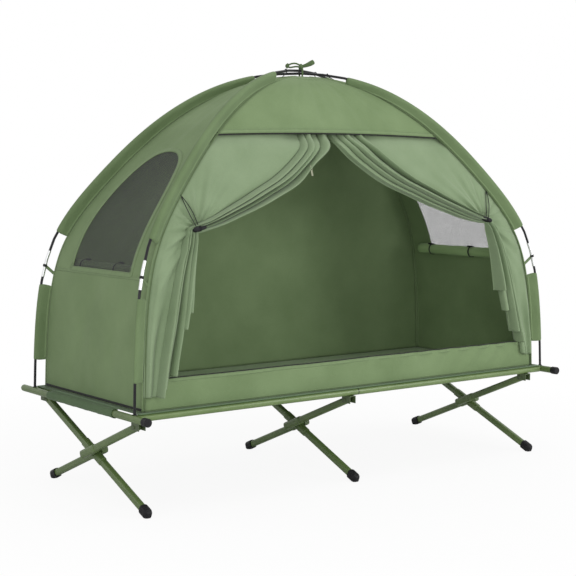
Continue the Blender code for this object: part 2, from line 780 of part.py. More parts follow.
def curve_to_mesh(curve_node, look):
    """The same tube as a closed mesh, so that it can be joined and cut."""
    name = curve_node.name
    graph = bpy.context.evaluated_depsgraph_get()
    mesh = bpy.data.meshes.new_from_object(curve_node.evaluated_get(graph))
    bpy.data.objects.remove(curve_node, do_unlink=True)
    body = bmesh.new()
    body.from_mesh(mesh)
    bpy.data.meshes.remove(mesh)
    bmesh.ops.remove_doubles(body, verts=body.verts[:], dist=GAP / 10)
    return finish(body, name, look)


POLE_SIDES = {"pole_front_left": (-1, -1, 1), "pole_front_right": (1, -1, -1)}


def build_poles():
    """Two arched poles, each with a pin and a ring at both feet, and a metal ferrule in each side."""
    angles = pole_angles()
    for name, (side_x, side_y, over) in POLE_SIDES.items():
        lift = over * (POLE_DIAMETER / 2 + GAP)
        points = pole_path(angles[0], angles[-1], side_x, side_y, lift)
        pole = curve_to_mesh(pole_curve(name, points, POLE_DIAMETER), BLACK)
        for sign in (1, -1):
            foot = (sign * side_x * POLE_FOOT_X, sign * side_y * POLE_FOOT_Y, BAR_TOP + GAP)
            ring = POLE_RING_DIAMETER / 2
            pin = POLE_PIN_DIAMETER / 2
            thick = POLE_RING_THICKNESS
            profile = ((-POLE_PIN_DEPTH, pin), (0, pin), (0, ring), (thick, ring), (thick, pin))
            profile += ((3 * thick, pin),)
            collar = bmesh.new()
            turned(collar, foot, (0, 0, 1), profile, 12)
            boolean(pole, collar, "UNION")
    for place, side_x, side_y in CORNERS:
        over = 1 if side_x * side_y > 0 else -1
        lift = over * (POLE_DIAMETER / 2 + GAP)
        points = pole_path(FERRULE_START_DEGREES, FERRULE_END_DEGREES, side_x, side_y, lift)
        body = bmesh.new()
        outer = POLE_DIAMETER + 2 * (GAP + FERRULE_WALL)
        tube(body, points, outer, 12)
        ferrule = finish(body, "pole_ferrule_" + place, STEEL)
        core = bmesh.new()
        past = OVERRUN_DEGREES
        points = pole_path(FERRULE_START_DEGREES - past, FERRULE_END_DEGREES + past, side_x, side_y, lift)
        tube(core, points, POLE_DIAMETER + 2 * GAP, 12)
        boolean(ferrule, core, "DIFFERENCE")


CORNERS = (
    ("front_left", -1, -1),
    ("front_right", 1, -1),
    ("rear_left", -1, 1),
    ("rear_right", 1, 1),
)


def sleeve_section(half, inset):
    """Outline of a sleeve across the pole: (inward distance from the pole, sideways distance)."""
    nose = POLE_DIAMETER / 2 + GAP + SLEEVE_CLOTH
    depth = inset - GAP
    edge = SLEEVE_CLOTH / half
    points = [(nose * place, half * wide) for place, wide in SLEEVE_NOSE_SHARES]
    points += [(depth * place, half * wide) for place, wide in SLEEVE_BODY_SHARES]
    points.append((depth, edge * half))
    back = [(place, -side) for place, side in reversed(points)]
    return points + back


def build_sleeves():
    """Cloth sleeves that hold the poles to the corner seams, four above and four below."""
    kinds = (
        ("upper", UPPER_SLEEVE_DEGREES, UPPER_SLEEVE_HALF, UPPER_SLEEVE_RINGS),
        ("lower", LOWER_SLEEVE_DEGREES, LOWER_SLEEVE_HALF, LOWER_SLEEVE_RINGS),
    )
    for kind, (start, end), half, count in kinds:
        for place, side_x, side_y in CORNERS:
            over = 1 if side_x * side_y > 0 else -1
            lift = over * (POLE_DIAMETER / 2 + GAP)
            plane = Vector((-side_y * POLE_FOOT_Y, side_x * POLE_FOOT_X, 0)).normalized()
            rings = []
            for degrees in np.linspace(start, end, count):
                s, z = arch(degrees, lift)
                seam_s, seam_z = seam(degrees)
                depth = math.hypot(s - seam_s, z - seam_z)
                inward = Vector(((seam_s - s) / depth, (seam_z - z) / depth))
                ring = []
                for along, beside in sleeve_section(half, depth - CLOTH):
                    s_here = s + inward.x * along
                    z_here = z + inward.y * along
                    x = side_x * s_here * POLE_FOOT_X / HALF_SPAN
                    y = side_y * s_here * POLE_FOOT_Y / HALF_SPAN
                    ring.append(Vector((x, y, z_here)) + plane * beside)
                rings.append(ring)
            node = finish(skin(bmesh.new(), rings), f"{kind}_sleeve_{place}", TENT_GREEN)
            core = bmesh.new()
            past = OVERRUN_DEGREES
            points = pole_path(start - past, end + past, side_x, side_y, lift)
            tube(core, points, POLE_DIAMETER + 4 * GAP, 8)
            boolean(node, core, "DIFFERENCE")


def prism(body, outline, low_x, high_x):
    """A closed prism along X over an outline of (y, z) points."""
    return skin(body, [[(x, y, z) for y, z in outline] for x in (low_x, high_x)])


def window_outline(shrink=0.0):
    points = []
    tall = WINDOW_TOP - WINDOW_BOTTOM - 2 * shrink
    half = WINDOW_HALF_WIDTH - shrink
    steps = 14
    for step in range(steps + 1):
        turn = math.pi * step / steps
        power = 2 / WINDOW_POWER
        y = math.copysign(abs(math.cos(turn)) ** power, math.cos(turn)) * half
        z = abs(math.sin(turn)) ** power * tall
        points.append((y, WINDOW_BOTTOM + shrink + z))
    return points


def end_wall_rows(side, low, high, columns=7, inward=0.0):
    rows = []
    for z in wall_heights(low, high):
        lean = slope_cosine(half_length, z)
        x = side * (half_length(z) - inward * lean)
        wide = half_width(z)
        rows.append([(x, wide * (2 * k / (columns - 1) - 1), z) for k in range(columns)])
    return rows


def build_end_walls():
    """The two end walls with their window openings and nets."""
    for name, side in (("left", -1), ("right", 1)):
        rows = end_wall_rows(side, WALL_FOOT, APEX_HEIGHT)
        wall = sheet("end_wall_" + name, rows, CLOTH, TENT_GREEN, flip=side < 0)
        hole = prism(bmesh.new(), window_outline(), side * NET_CLEAR, side * COT_LENGTH)
        boolean(wall, hole, "DIFFERENCE")
        rows = end_wall_rows(side, WINDOW_BOTTOM - OVERRUN, WINDOW_TOP + OVERRUN, inward=NET / 4)
        net = sheet("window_net_" + name, rows, NET, NET_GREY, flip=side < 0)
        frame = prism(bmesh.new(), window_outline(GAP), side * NET_CLEAR, side * COT_LENGTH)
        boolean(net, frame, "INTERSECT")


def long_wall_rows(side, low, high, columns, bow=0.0):
    """Rows of a front or rear wall, between the end walls."""
    rows = []
    heights = wall_heights(low, high)
    count = len(heights)
    for index, z_level in enumerate(heights):
        row = []
        for k in range(columns):
            share = 2 * k / (columns - 1) - 1
            z = z_level + bow * (1 - share**2) * (1 - index / (count - 1)) ** 2
            margin = (CLOTH + 2 * GAP) * slope_cosine(half_length, z) + GAP
            x = share * (half_length(z) - margin)
            row.append((x, side * half_width(z), z))
        rows.append(row)
    return rows


def build_long_walls():
    """The rear wall, the front upper panel with its free lower edge, the sill and the floor."""
    rows = long_wall_rows(1, WALL_FOOT, LONG_WALL_TOP, 9)
    sheet("rear_wall", rows, CLOTH, TENT_GREEN, flip=True)
    rows = long_wall_rows(-1, VALANCE_EDGE, LONG_WALL_TOP, 9, VALANCE_BOW)
    sheet("front_panel", rows, CLOTH, TENT_GREEN)
    sill_top = WALL_FOOT + SILL_HEIGHT
    rows = long_wall_rows(-1, WALL_FOOT, sill_top, 9)
    sheet("door_sill", rows, CLOTH, TENT_GREEN)
    body = bmesh.new()
    z = TENT_FLOOR_BOTTOM
    x = half_length(z + TENT_FLOOR)
    y = half_width(z + TENT_FLOOR)
    box(body, (-x, -y, z), (x, y, z + TENT_FLOOR))
    finish(body, "tent_floor", TENT_GREEN)


def line_through(points):
    """A smooth curve through points, read with a share from 0 to 1 of its steps."""
    curves = [smooth_curve(axis) for axis in zip(*points)]
    last = len(points) - 1
    return lambda share: [curve(share * last) for curve in curves]


def curtain_lines(side):
    """The curtain's outer edge on the corner seam, and its free inner edge, as (x, z) for a share down."""
    top_z = VALANCE_EDGE - 3 * GAP
    seam_heights = (top_z, (top_z + SEAM_TOGGLE_HEIGHT) / 2, SEAM_TOGGLE_HEIGHT)
    drop = top_z - TOGGLE_Z + TOGGLE_DIAMETER
    swag_low = top_z - drop
    swag_run = TOGGLE_X - CURTAIN_GAP
    swag = [(side * (CURTAIN_GAP + across * swag_run), swag_low + up * drop) for across, up in SWAG_SHARES]
    swag_curve = line_through(swag)
    hem_x = half_length(HEM_HEIGHT) - HEM_WIDTH
    run = hem_x - TOGGLE_X
    rise = swag_low - HEM_HEIGHT
    fall = line_through(
        [(side * (TOGGLE_X + run * across), HEM_HEIGHT + rise * up) for across, up in FALL_SHARES]
    )

    def outer(share, lower):
        if lower:
            z = SEAM_TOGGLE_HEIGHT + (HEM_HEIGHT - SEAM_TOGGLE_HEIGHT) * share
        else:
            z = seam_heights[0] + (seam_heights[2] - seam_heights[0]) * share
        margin = (CLOTH + 2 * GAP) * slope_cosine(half_length, z) + GAP
        return side * (half_length(z) - margin), z

    def inner(share, lower):
        return fall(share) if lower else swag_curve(share)

    return outer, inner


def gathered(across, share):
    """Where a thread lies between the edges: even at the valance, bunched at the toggle."""
    bunched = across * BUNCH_SHARE / FLAT_SHARE
    if across > FLAT_SHARE:
        bunched = BUNCH_SHARE + (1 - BUNCH_SHARE) * (across - FLAT_SHARE) / (1 - FLAT_SHARE)
    return (1 - share) * across + share * bunched


def hem_share(across):
    """How far down a thread reaches below the toggle: the inner folds end higher, in steps."""
    if across < FLAT_SHARE:
        return 1.0
    step = math.floor((across - FLAT_SHARE) / (1 - FLAT_SHARE) * len(HEM_STEP_SHARES))
    return HEM_STEP_SHARES[min(step, len(HEM_STEP_SHARES) - 1)]


def curtain_point(edges, across, down):
    """A point of a curtain: across from the seam to the free edge, down from the valance to the hem."""
    outer, inner = edges
    lower = down > TOGGLE_SHARE
    share = down / TOGGLE_SHARE
    weight = gathered(across, min(share, 1.0))
    if lower:
        share = (down - TOGGLE_SHARE) / (1 - TOGGLE_SHARE) * hem_share(across)
    x0, z0 = outer(share, lower)
    x1, z1 = inner(share, lower)
    x = x0 + (x1 - x0) * weight
    z = z0 + (z1 - z0) * weight
    folded = max(0.0, (across - FLAT_SHARE) / (1 - FLAT_SHARE))
    wave = 0.5 - 0.5 * math.cos(2 * math.pi * FOLD_COUNT * folded)
    ease = min(1.0, down / VALANCE_EASE_SHARE)
    before_sill = max(0.0, min(1.0, (WALL_FOOT + SILL_HEIGHT + SILL_CLEAR - z) / (SILL_CLEAR / 2)))
    out = FOLD_DEPTH * wave * ease + (CLOTH + 3 * GAP) * before_sill
    middle = 1 - (x / half_length(VALANCE_EDGE)) ** 2
    z += max(0.0, VALANCE_BOW * middle) * max(0.0, 1 - down / VALANCE_EASE_SHARE)
    return x, -half_width(z) - out, z


def build_curtains():
    """The two door curtains, each drawn back to a toggle on a cord loop."""
    for name, side in (("left", -1), ("right", 1)):
        edges = curtain_lines(side)
        rows = []
        threads = np.linspace(0, 1, CURTAIN_COLUMNS)
        for down in np.linspace(1, 0, CURTAIN_ROWS):
            rows.append([curtain_point(edges, across, down) for across in threads])
        sheet("curtain_" + name, rows, CLOTH, CURTAIN_GREEN, flip=side > 0, even=False)
        z = TOGGLE_Z
        y = -half_width(z) - FOLD_DEPTH - 4 * GAP - TOGGLE_DIAMETER / 2
        radius = TOGGLE_DIAMETER / 2
        half = TOGGLE_LENGTH / 2
        profile = [(half * along, radius * wide) for along, wide in TOGGLE_PROFILE_SHARES]
        body = bmesh.new()
        middle = (side * TOGGLE_X, y, z)
        turned(body, middle, (1, 0, 0), profile, 10)
        toggle = finish(body, "curtain_toggle_" + name, BLACK)
        anchor_z = LOOP_ANCHOR_HEIGHT
        thick = LOOP_CORD_DIAMETER
        anchor_y = -half_width(anchor_z) - thick / 2 - 2 * GAP
        loop = bmesh.new()
        for spread in (-1, 1):
            top = (side * (half_length(anchor_z) - 2 * thick), anchor_y, anchor_z)
            end_x = side * TOGGLE_X + (side + spread) * half * LOOP_SPREAD_SHARE
            midway = ((top[0] + end_x) / 2, (anchor_y + y) / 2 - thick * 2, (anchor_z + z) / 2)
            tube(loop, [top, midway, (end_x, y, z)], thick, 6)
            boolean(toggle, loop, "UNION")
            loop = bmesh.new()
        loop.free()


def build_zip_pull():
    """The door zip's pull, lying on the last fold of the left curtain near its top."""
    rings = []
    fold_crest = FLAT_SHARE + (1 - FLAT_SHARE) * (1 - 0.5 / FOLD_COUNT)
    x, y, top = curtain_point(curtain_lines(-1), fold_crest, ZIP_PULL_DOWN_SHARE)
    wide = ZIP_PULL_WIDTH / 2
    for z in (top - ZIP_PULL_LENGTH, top):
        front = y - GAP - (half_width(z) - half_width(top))
        back = front - ZIP_PULL_THICKNESS
        rings.append([(x - wide, front, z), (x + wide, front, z), (x + wide, back, z), (x - wide, back, z)])
    finish(skin(bmesh.new(), rings), "zip_pull", BLACK)


def build_rolls():
    """The rolled window covers inside the end walls, each held by two ties with toggles."""
    radius = ROLL_DIAMETER / 2
    band = radius + ROLL_TIE_THICKNESS
    lean = slope_cosine(half_length, ROLL_HEIGHT)
    for name, side in (("left", -1), ("right", 1)):
        x = side * (half_length(ROLL_HEIGHT) - (CLOTH + band + 2 * GAP) * lean)
        half = half_width(ROLL_HEIGHT) - ROLL_END_GAP
        body = bmesh.new()
        end = radius * ROLL_END_SHARE
        profile = [(-half, radius - end), (-half + end, radius)]
        for place in sorted(ROLL_TIE_PLACES):
            for shift, share in ROLL_WAIST:
                profile.append((place + shift * ROLL_TIE_WIDTH, radius * share))
        profile += [(half - end, radius), (half, radius - end)]
        turned(body, (x, 0, ROLL_HEIGHT), (0, 1, 0), profile, 16)
        roll = finish(body, "window_roll_" + name, TENT_GREEN)
        for place in ROLL_TIE_PLACES:
            tie = bmesh.new()
            wide = ROLL_TIE_WIDTH / 2
            turned(tie, (x, place, ROLL_HEIGHT), (0, 1, 0), ((-wide, band), (wide, band)), 16)
            boolean(roll, tie, "UNION")
            toggle = bmesh.new()
            ends = []
            for end_y in (place - ROLL_TOGGLE_LENGTH / 2, place + ROLL_TOGGLE_LENGTH / 2):
                ends.append((x - side * radius / 2, end_y, ROLL_HEIGHT + ROLL_TOGGLE_LIFT))
            rod(toggle, ends[0], ends[1], ROLL_TOGGLE_DIAMETER, 8)
            boolean(roll, toggle, "UNION")


def build_straps():
    """Webbing from each corner of the tent to its pole, sewn to the end walls."""
    for place, side_x, side_y in CORNERS:
        over = 1 if side_x * side_y > 0 else -1
        lift = over * (POLE_DIAMETER / 2 + GAP)
        half = math.degrees(STRAP_WIDTH / 2 / HALF_SPAN)
        wall = bpy.data.objects["end_wall_" + place.split("_")[1]]
        plane = Vector((-side_y * POLE_FOOT_Y, side_x * POLE_FOOT_X, 0)).normalized()
        top, bottom = [(Vector(seam(STRAP_DEGREES - STRAP_DROP_DEGREES + high * half)),
                        Vector(arch(STRAP_DEGREES + high * half, lift))) for high in (1, -1)]
        rings = []
        for end in (0, 1):
            corners = []
            for edge, thick in ((top, 1), (top, -1), (bottom, -1), (bottom, 1)):
                sewn = (edge[0] - edge[1]).normalized() * STRAP_SEWN
                flat = edge[1] if end else edge[0] + sewn
                x = side_x * flat.x * POLE_FOOT_X / HALF_SPAN
                y = side_y * flat.x * POLE_FOOT_Y / HALF_SPAN
                corners.append(Vector((x, y, flat.y)) + plane * thick * STRAP_THICKNESS / 2)
            rings.append(corners)
        boolean(wall, skin(bmesh.new(), rings), "UNION")
        bore = POLE_DIAMETER + 2 * (GAP + FERRULE_WALL) + 4 * GAP
        band = (1, bore + 2 * STRAP_THICKNESS, "UNION")
        hole = (3, bore, "DIFFERENCE")
        for grow, diameter, operation in (band, hole):
            ends = (STRAP_DEGREES - half * grow, STRAP_DEGREES + half * grow)
            points = pole_path(*ends, side_x, side_y, lift)
            boolean(wall, tube(bmesh.new(), points, diameter, 10), operation)


def build_top_tie():
    """The bow that ties the tent's top to the pole crossing, with its two cords to the cloth."""
    crossing = BAR_TOP + POLE_RISE + POLE_DIAMETER + 2 * GAP
    knot = KNOT_DIAMETER / 2
    centre = crossing + GAP + knot
    turn = math.radians(BOW_TURN_DEGREES)
    across = Vector((math.cos(turn), math.sin(turn), 0))
    body = bmesh.new()
    middle = Vector((0, 0, centre))
    profile = [(knot * along, knot * wide) for along, wide in KNOT_PROFILE_SHARES]
    turned(body, middle, (0, 0, 1), profile, 10)
    tie = finish(body, "top_tie", TENT_GREEN)
    loop = bmesh.new()
    points = []
    for along, up in BOW_SHARES:
        points.append(middle + across * BOW_HALF_WIDTH * along + Vector((0, 0, KNOT_DIAMETER * up)))
    tube(loop, points, TIE_LOOP_DIAMETER, 6)
    boolean(tie, loop, "UNION")
    tail = bmesh.new()
    line = across + Vector((0, 0, TAIL_RISE))
    wide = TAIL_DIAMETER / 2
    length = BOW_HALF_WIDTH
    profile = [(length * along, wide * share) for along, share in TAIL_PROFILE_SHARES]
    turned(tail, middle, line, profile, 10)
    boolean(tie, tail, "UNION")
    for side in (-1, 1):
        cord = bmesh.new()
        y = side * (POLE_DIAMETER / 2 + TIE_CORD_DIAMETER / 2 + 4 * GAP)
        low = APEX_HEIGHT + TIE_CORD_DIAMETER / 2 + GAP
        points = [(0, y / 2, centre), (0, y, crossing), (0, y, crossing - 2 * POLE_DIAMETER), (0, y, low)]
        tube(cord, points, TIE_CORD_DIAMETER, 6)
        boolean(tie, cord, "UNION")


def hang_on_joint(name, place, nodes):
    """Parents nodes to an empty on their joint's axis, where they already are."""
    joint = bpy.data.objects.new(name, None)
    PARTS.objects.link(joint)
    joint.location = place
    for node in nodes:
        child = bpy.data.objects[node]
        child.parent = joint
        child.matrix_parent_inverse = Matrix.Translation(-Vector(place))


def build_joints():
    """Empties on the axes of the moving bodies."""
    for side, x0 in LEG_SET_PLACES.items():
        top_axis = (x0, PIVOT_Y, PIVOT_HEIGHT)
        crossing_axis = (x0, 0, CROSSING_HEIGHT)
        hang_on_joint(f"leg_a_{side}_axis", top_axis, (f"leg_a_{side}", f"boot_a_{side}"))
        hang_on_joint(f"leg_b_{side}_axis", crossing_axis, (f"leg_b_{side}", f"boot_b_{side}"))
    rail_nodes = ["front_rail_left", "front_rail_right", "front_rail_joiner"]
    rail_nodes += ["front_bracket_" + side for side in LEG_SET_PLACES]
    place = (LEG_SET_PLACES["mid"] - LEG_OFFSET, -PIVOT_Y, PIVOT_HEIGHT)
    hang_on_joint("front_rail_axis", place, rail_nodes)
    tent_starts = ("tent_", "end_wall", "window_", "rear_wall", "front_panel", "door_", "curtain_")
    tent_starts += ("pole_", "upper_sleeve", "lower_sleeve", "zip_pull", "top_tie")
    tent_nodes = [node.name for node in PARTS.objects if node.name.startswith(tent_starts)]
    hang_on_joint("tent_lift_axis", (0, 0, TENT_FLOOR_BOTTOM), tent_nodes)


build_bars()
build_rails()
build_bed()
build_brackets()
for set_side, set_x in LEG_SET_PLACES.items():
    build_leg_set(set_side, set_x)
build_poles()
build_sleeves()
build_end_walls()
build_long_walls()
build_straps()
build_curtains()
build_zip_pull()
build_rolls()
build_top_tie()
build_joints()
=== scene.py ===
"""The tent cot's looks: paint, plastic and metal on its frame, and its cloth as sewn sheets with folds."""

import math

import bmesh
import bpy
import numpy as np
from mathutils import Matrix, Vector


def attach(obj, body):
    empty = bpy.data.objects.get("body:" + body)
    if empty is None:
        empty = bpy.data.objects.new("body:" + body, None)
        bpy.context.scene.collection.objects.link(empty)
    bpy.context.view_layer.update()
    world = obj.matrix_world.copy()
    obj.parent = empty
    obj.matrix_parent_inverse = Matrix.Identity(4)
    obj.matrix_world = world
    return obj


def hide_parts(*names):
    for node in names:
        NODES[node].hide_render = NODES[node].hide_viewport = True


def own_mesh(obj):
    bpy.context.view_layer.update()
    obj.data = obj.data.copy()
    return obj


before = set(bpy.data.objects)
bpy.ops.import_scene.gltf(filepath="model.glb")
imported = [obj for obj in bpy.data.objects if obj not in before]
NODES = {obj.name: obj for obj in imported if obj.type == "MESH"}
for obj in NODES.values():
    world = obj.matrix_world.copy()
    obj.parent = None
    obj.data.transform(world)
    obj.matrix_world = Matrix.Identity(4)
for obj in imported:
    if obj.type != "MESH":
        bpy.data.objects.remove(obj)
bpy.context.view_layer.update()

# Sizes of the tent, as in the construction
POLE_FOOT_X = 0.9502
POLE_FOOT_Y = 0.3589
POLE_RISE = 1.1618
BAR_TOP = 0.347
RAIL_HEIGHT = 0.3345
BAR_X = 0.9525
HALF_SPAN = math.hypot(POLE_FOOT_X, POLE_FOOT_Y)
ARCH_SHARES = (
    (1.0, 0.0),
    (0.9862, 0.2310),
    (0.9237, 0.4662),
    (0.7584, 0.6631),
    (0.5504, 0.8334),
    (0.2937, 0.9583),
    (0.0, 1.0),
)
POLE_DIAMETER = 0.0095
CROSSING_LIFT = POLE_DIAMETER / 2 + 0.0003
SEAM_INSET = 0.040
PEAK_INSET = 0.028
SEAM_MARGIN = 0.0022
CLOTH = 0.0012
BED_TOP = 0.3488
WALL_FOOT = 0.3514
VALANCE_EDGE = 1.266
SILL_TOP = WALL_FOOT + 0.100
WINDOW_BOTTOM = 0.793
WINDOW_TOP = 1.207
WINDOW_HEIGHT = WINDOW_TOP - WINDOW_BOTTOM
WINDOW_HALF_WIDTH = 0.206
WINDOW_POWER = 2.5
BORDER_WIDTH = 0.020
CORNERS = {"front_left": (-1, -1), "front_right": (1, -1), "rear_left": (-1, 1), "rear_right": (1, 1)}
SIDES = (("left", -1), ("right", 1))
STRAP_ANGLE = 24.6
FULL_TURN = 2 * math.pi


def natural_curve(values):
    """A natural cubic curve through values at 0, 1, 2 and so on, read at an array of places."""
    values = np.array(values, float)
    count = len(values)
    system = np.eye(count)
    right = np.zeros(count)
    for k in range(1, count - 1):
        system[k, k - 1 : k + 2] = (1, 4, 1)
        right[k] = 6 * (values[k - 1] - 2 * values[k] + values[k + 1])
    bends = np.linalg.solve(system, right)

    def at(place):
        place = np.asarray(place, float)
        low = np.clip(np.floor(place).astype(int), 0, count - 2)
        part = place - low
        rest = 1 - part
        line = rest * values[low] + part * values[low + 1]
        return line + ((rest**3 - rest) * bends[low] + (part**3 - part) * bends[low + 1]) / 6

    return at


arch_shares = np.array(ARCH_SHARES)
arch_across = natural_curve(np.concatenate([arch_shares[:, 0], -arch_shares[-2::-1, 0]]))
arch_up = natural_curve(np.concatenate([arch_shares[:, 1], arch_shares[-2::-1, 1]]))


def arch(degrees):
    """The pole's line: distance from the middle and height, for angles from a foot."""
    place = np.asarray(degrees, float) / 15
    return arch_across(place) * HALF_SPAN, BAR_TOP + arch_up(place) * POLE_RISE


def seam(degrees):
    """The tent's corner seam, inside the pole and nearer to it towards the peak."""
    degrees = np.asarray(degrees, float)
    s, z = arch(degrees)
    s0, z0 = arch(degrees - 0.5)
    s1, z1 = arch(degrees + 0.5)
    size = np.hypot(s1 - s0, z1 - z0)
    ease = np.maximum(0, (degrees - 55) / 35)
    inset = SEAM_INSET + (PEAK_INSET - SEAM_INSET) * ease
    return s - inset * (z1 - z0) / size, z + inset * (s1 - s0) / size


SEAM_S, SEAM_Z = seam(np.linspace(0, 88.6, 600))
APEX = float(SEAM_Z[-1])


def half_length(z):
    return np.interp(z, SEAM_Z, SEAM_S) * POLE_FOOT_X / HALF_SPAN


def half_width(z):
    return np.interp(z, SEAM_Z, SEAM_S) * POLE_FOOT_Y / HALF_SPAN


def diagonal(corner, s, z):
    """A point in the vertical plane of a corner's pole."""
    side_x, side_y = CORNERS[corner]
    return Vector((side_x * s * POLE_FOOT_X / HALF_SPAN, side_y * s * POLE_FOOT_Y / HALF_SPAN, z))


def across_pole(corner):
    """The level direction square to a corner's pole, and the way that pole passes at the crossing."""
    side_x, side_y = CORNERS[corner]
    return Vector((-side_y * POLE_FOOT_Y, side_x * POLE_FOOT_X, 0)).normalized(), side_x * side_y


def ripple(u, v, waves):
    """Soft unevenness of cloth: a sum of long waves, each (size, turns along u, turns along v, start)."""
    total = 0
    for size, along, beside, start in waves:
        total = total + size * np.sin(FULL_TURN * (along * u + beside * v) + start)
    return total


# Camera, light and floor
CAMERA_AZIMUTH = math.radians(-36.687)
CAMERA_ELEVATION = math.radians(5.029)
CAMERA_DISTANCE = 5.3055
CAMERA_RIGHT = -0.0488
CAMERA_UP = -0.0627
CAMERA_TARGET = Vector((0, 0, 0.75))
SENSOR = 36
FOCAL_PIXELS = 1381.11
PHOTO_PIXELS = 576
WORLD_STRENGTH = 0.56
WHITE = (1, 1, 1, 1)
FLOOR_COLOUR = (0.86, 0.86, 0.86, 1)
# Each lamp's name, place, target, size and power
LAMPS = (
    ("key", (-1.7, -4.6, 2.3), (0, 0, 0.8), 2.4, 44),
    ("top", (0.6, -0.6, 4.6), (0, 0, 0.8), 3.0, 40),
    ("right", (2.5, -3.6, 1.35), (-0.4, 0, 0.7), 1.5, 52),
    ("left", (-4.4, -2.6, 1.3), (0.2, 0, 0.7), 1.6, 31),
)


def add_camera():
    level = math.cos(CAMERA_ELEVATION)
    back_x = math.sin(CAMERA_AZIMUTH) * level
    back_y = -math.cos(CAMERA_AZIMUTH) * level
    back = Vector((back_x, back_y, math.sin(CAMERA_ELEVATION)))
    right = Vector((math.cos(CAMERA_AZIMUTH), math.sin(CAMERA_AZIMUTH), 0))
    above = back.cross(right)
    place = back * CAMERA_DISTANCE + right * CAMERA_RIGHT + above * CAMERA_UP + CAMERA_TARGET
    data = bpy.data.cameras.new("camera")
    data.sensor_width = SENSOR
    data.lens = SENSOR * FOCAL_PIXELS / PHOTO_PIXELS
    data.clip_end = 60
    camera = bpy.data.objects.new("camera", data)
    turn = Matrix((right, above, back)).transposed().to_4x4()
    camera.matrix_world = Matrix.Translation(place) @ turn
    bpy.context.collection.objects.link(camera)
    bpy.context.scene.camera = camera


def add_lamp(name, place, target, size, power):
    data = bpy.data.lights.new(name, "AREA")
    data.shape = "DISK"
    data.size = size
    data.energy = power
    lamp = bpy.data.objects.new(name, data)
    lamp.location = place
    aim = Vector(target) - Vector(place)
    lamp.rotation_euler = aim.to_track_quat("-Z", "Y").to_euler()
    bpy.context.collection.objects.link(lamp)


def add_world():
    """A white backdrop that lights the cot less than it shows."""
    world = bpy.data.worlds.new("studio")
    bpy.context.scene.world = world
    world.use_nodes = True
    tree = world.node_tree
    tree.nodes.clear()
    rays = tree.nodes.new("ShaderNodeLightPath").outputs
    clear = math_node(tree, "MAXIMUM", rays["Is Glossy Ray"], rays["Is Transmission Ray"])
    seen = math_node(tree, "MAXIMUM", rays["Is Camera Ray"], clear)
    dim = add_node(tree, "Background", {"Color": WHITE, "Strength": WORLD_STRENGTH})
    bright = add_node(tree, "Background", {"Color": WHITE, "Strength": 1.0})
    backdrop = add_node(tree, "MixShader", {0: seen, 1: dim, 2: bright})
    tree.links.new(backdrop, tree.nodes.new("ShaderNodeOutputWorld").inputs["Surface"])


def add_floor():
    """A pale floor that fades into the white backdrop away from the cot."""
    select()
    bpy.ops.mesh.primitive_plane_add(size=24, location=(0, 0, -0.0005))
    floor = bpy.context.active_object
    floor.name = "floor"
    made, tree, where = new_finish("pale floor")
    finished(made, {"Base Color": FLOOR_COLOUR, "Roughness": 0.9})
    reach = tree.nodes.new("ShaderNodeVectorMath")
    reach.operation = "LENGTH"
    tree.links.new(where, reach.inputs[0])
    paler = spread(tree, reach.outputs["Value"], 0.8, 2.3, 0.91, 1.0)
    rays = tree.nodes.new("ShaderNodeLightPath").outputs
    share = math_node(tree, "MULTIPLY", rays["Is Camera Ray"], paler)
    glow = add_node(tree, "Emission", {"Color": WHITE, "Strength": 1.0})
    mix = add_node(tree, "MixShader", {0: share, 1: tree.nodes["Principled BSDF"].outputs[0], 2: glow})
    tree.links.new(mix, tree.nodes["Material Output"].inputs["Surface"])
    floor.data.materials.append(made)


# Shader nodes, where every input is either a value or another node's output
def set_inputs(tree, node, inputs):
    for place, value in inputs.items():
        if isinstance(value, bpy.types.NodeSocket):
            tree.links.new(value, node.inputs[place])
        else:
            node.inputs[place].default_value = value


def add_node(tree, kind, inputs, output=0):
    node = tree.nodes.new("ShaderNode" + kind)
    set_inputs(tree, node, inputs)
    return node.outputs[output]


def math_node(tree, operation, first, second=0.0):
    node = tree.nodes.new("ShaderNodeMath")
    node.operation = operation
    set_inputs(tree, node, {0: first, 1: second})
    return node.outputs[0]


def times(tree, first, second):
    return math_node(tree, "MULTIPLY", first, second)


def noise(tree, where, scale, detail=3.0, rough=0.5):
    inputs = {"Vector": where, "Scale": scale, "Detail": detail, "Roughness": rough}
    return add_node(tree, "TexNoise", inputs, "Fac")


def spread(tree, value, low, high, to_low, to_high):
    """A value taken from one range to another."""
    inputs = {"Value": value, "From Min": low, "From Max": high, "To Min": to_low, "To Max": to_high}
    return add_node(tree, "MapRange", inputs, "Result")


def two_tones(tree, share, first, second):
    """A mix of two colours, the first of which may be a node's output."""
    node = tree.nodes.new("ShaderNodeMix")
    node.data_type = "RGBA"
    start = first if isinstance(first, bpy.types.NodeSocket) else (*first, 1)
    set_inputs(tree, node, {"Factor": share, "A": start, "B": (*second, 1)})
    return node.outputs["Result"]


def bump(tree, height, strength, distance):
    inputs = {"Height": height, "Strength": strength, "Distance": distance}
    return add_node(tree, "Bump", inputs, "Normal")


def along_axis(tree, vector, axis):
    return add_node(tree, "SeparateXYZ", {0: vector}, axis)


def near(tree, value, centre, reach):
    """One where a value lies within reach of a centre, else nothing."""
    away = math_node(tree, "ABSOLUTE", math_node(tree, "SUBTRACT", value, centre))
    return math_node(tree, "LESS_THAN", away, reach)


def bands(tree, where, direction, scale):
    node = tree.nodes.new("ShaderNodeTexWave")
    node.bands_direction = direction
    set_inputs(tree, node, {"Vector": where, "Scale": scale})
    return node.outputs["Fac"]


# Finishes
# Painted shade: the dark colour of the gap where the rail's two tubes meet
JOINT_SHADE_COLOUR = (0.020, 0.032, 0.012)
NET_CELL = 0.0013
STITCHES_PER_METRE = 260.0


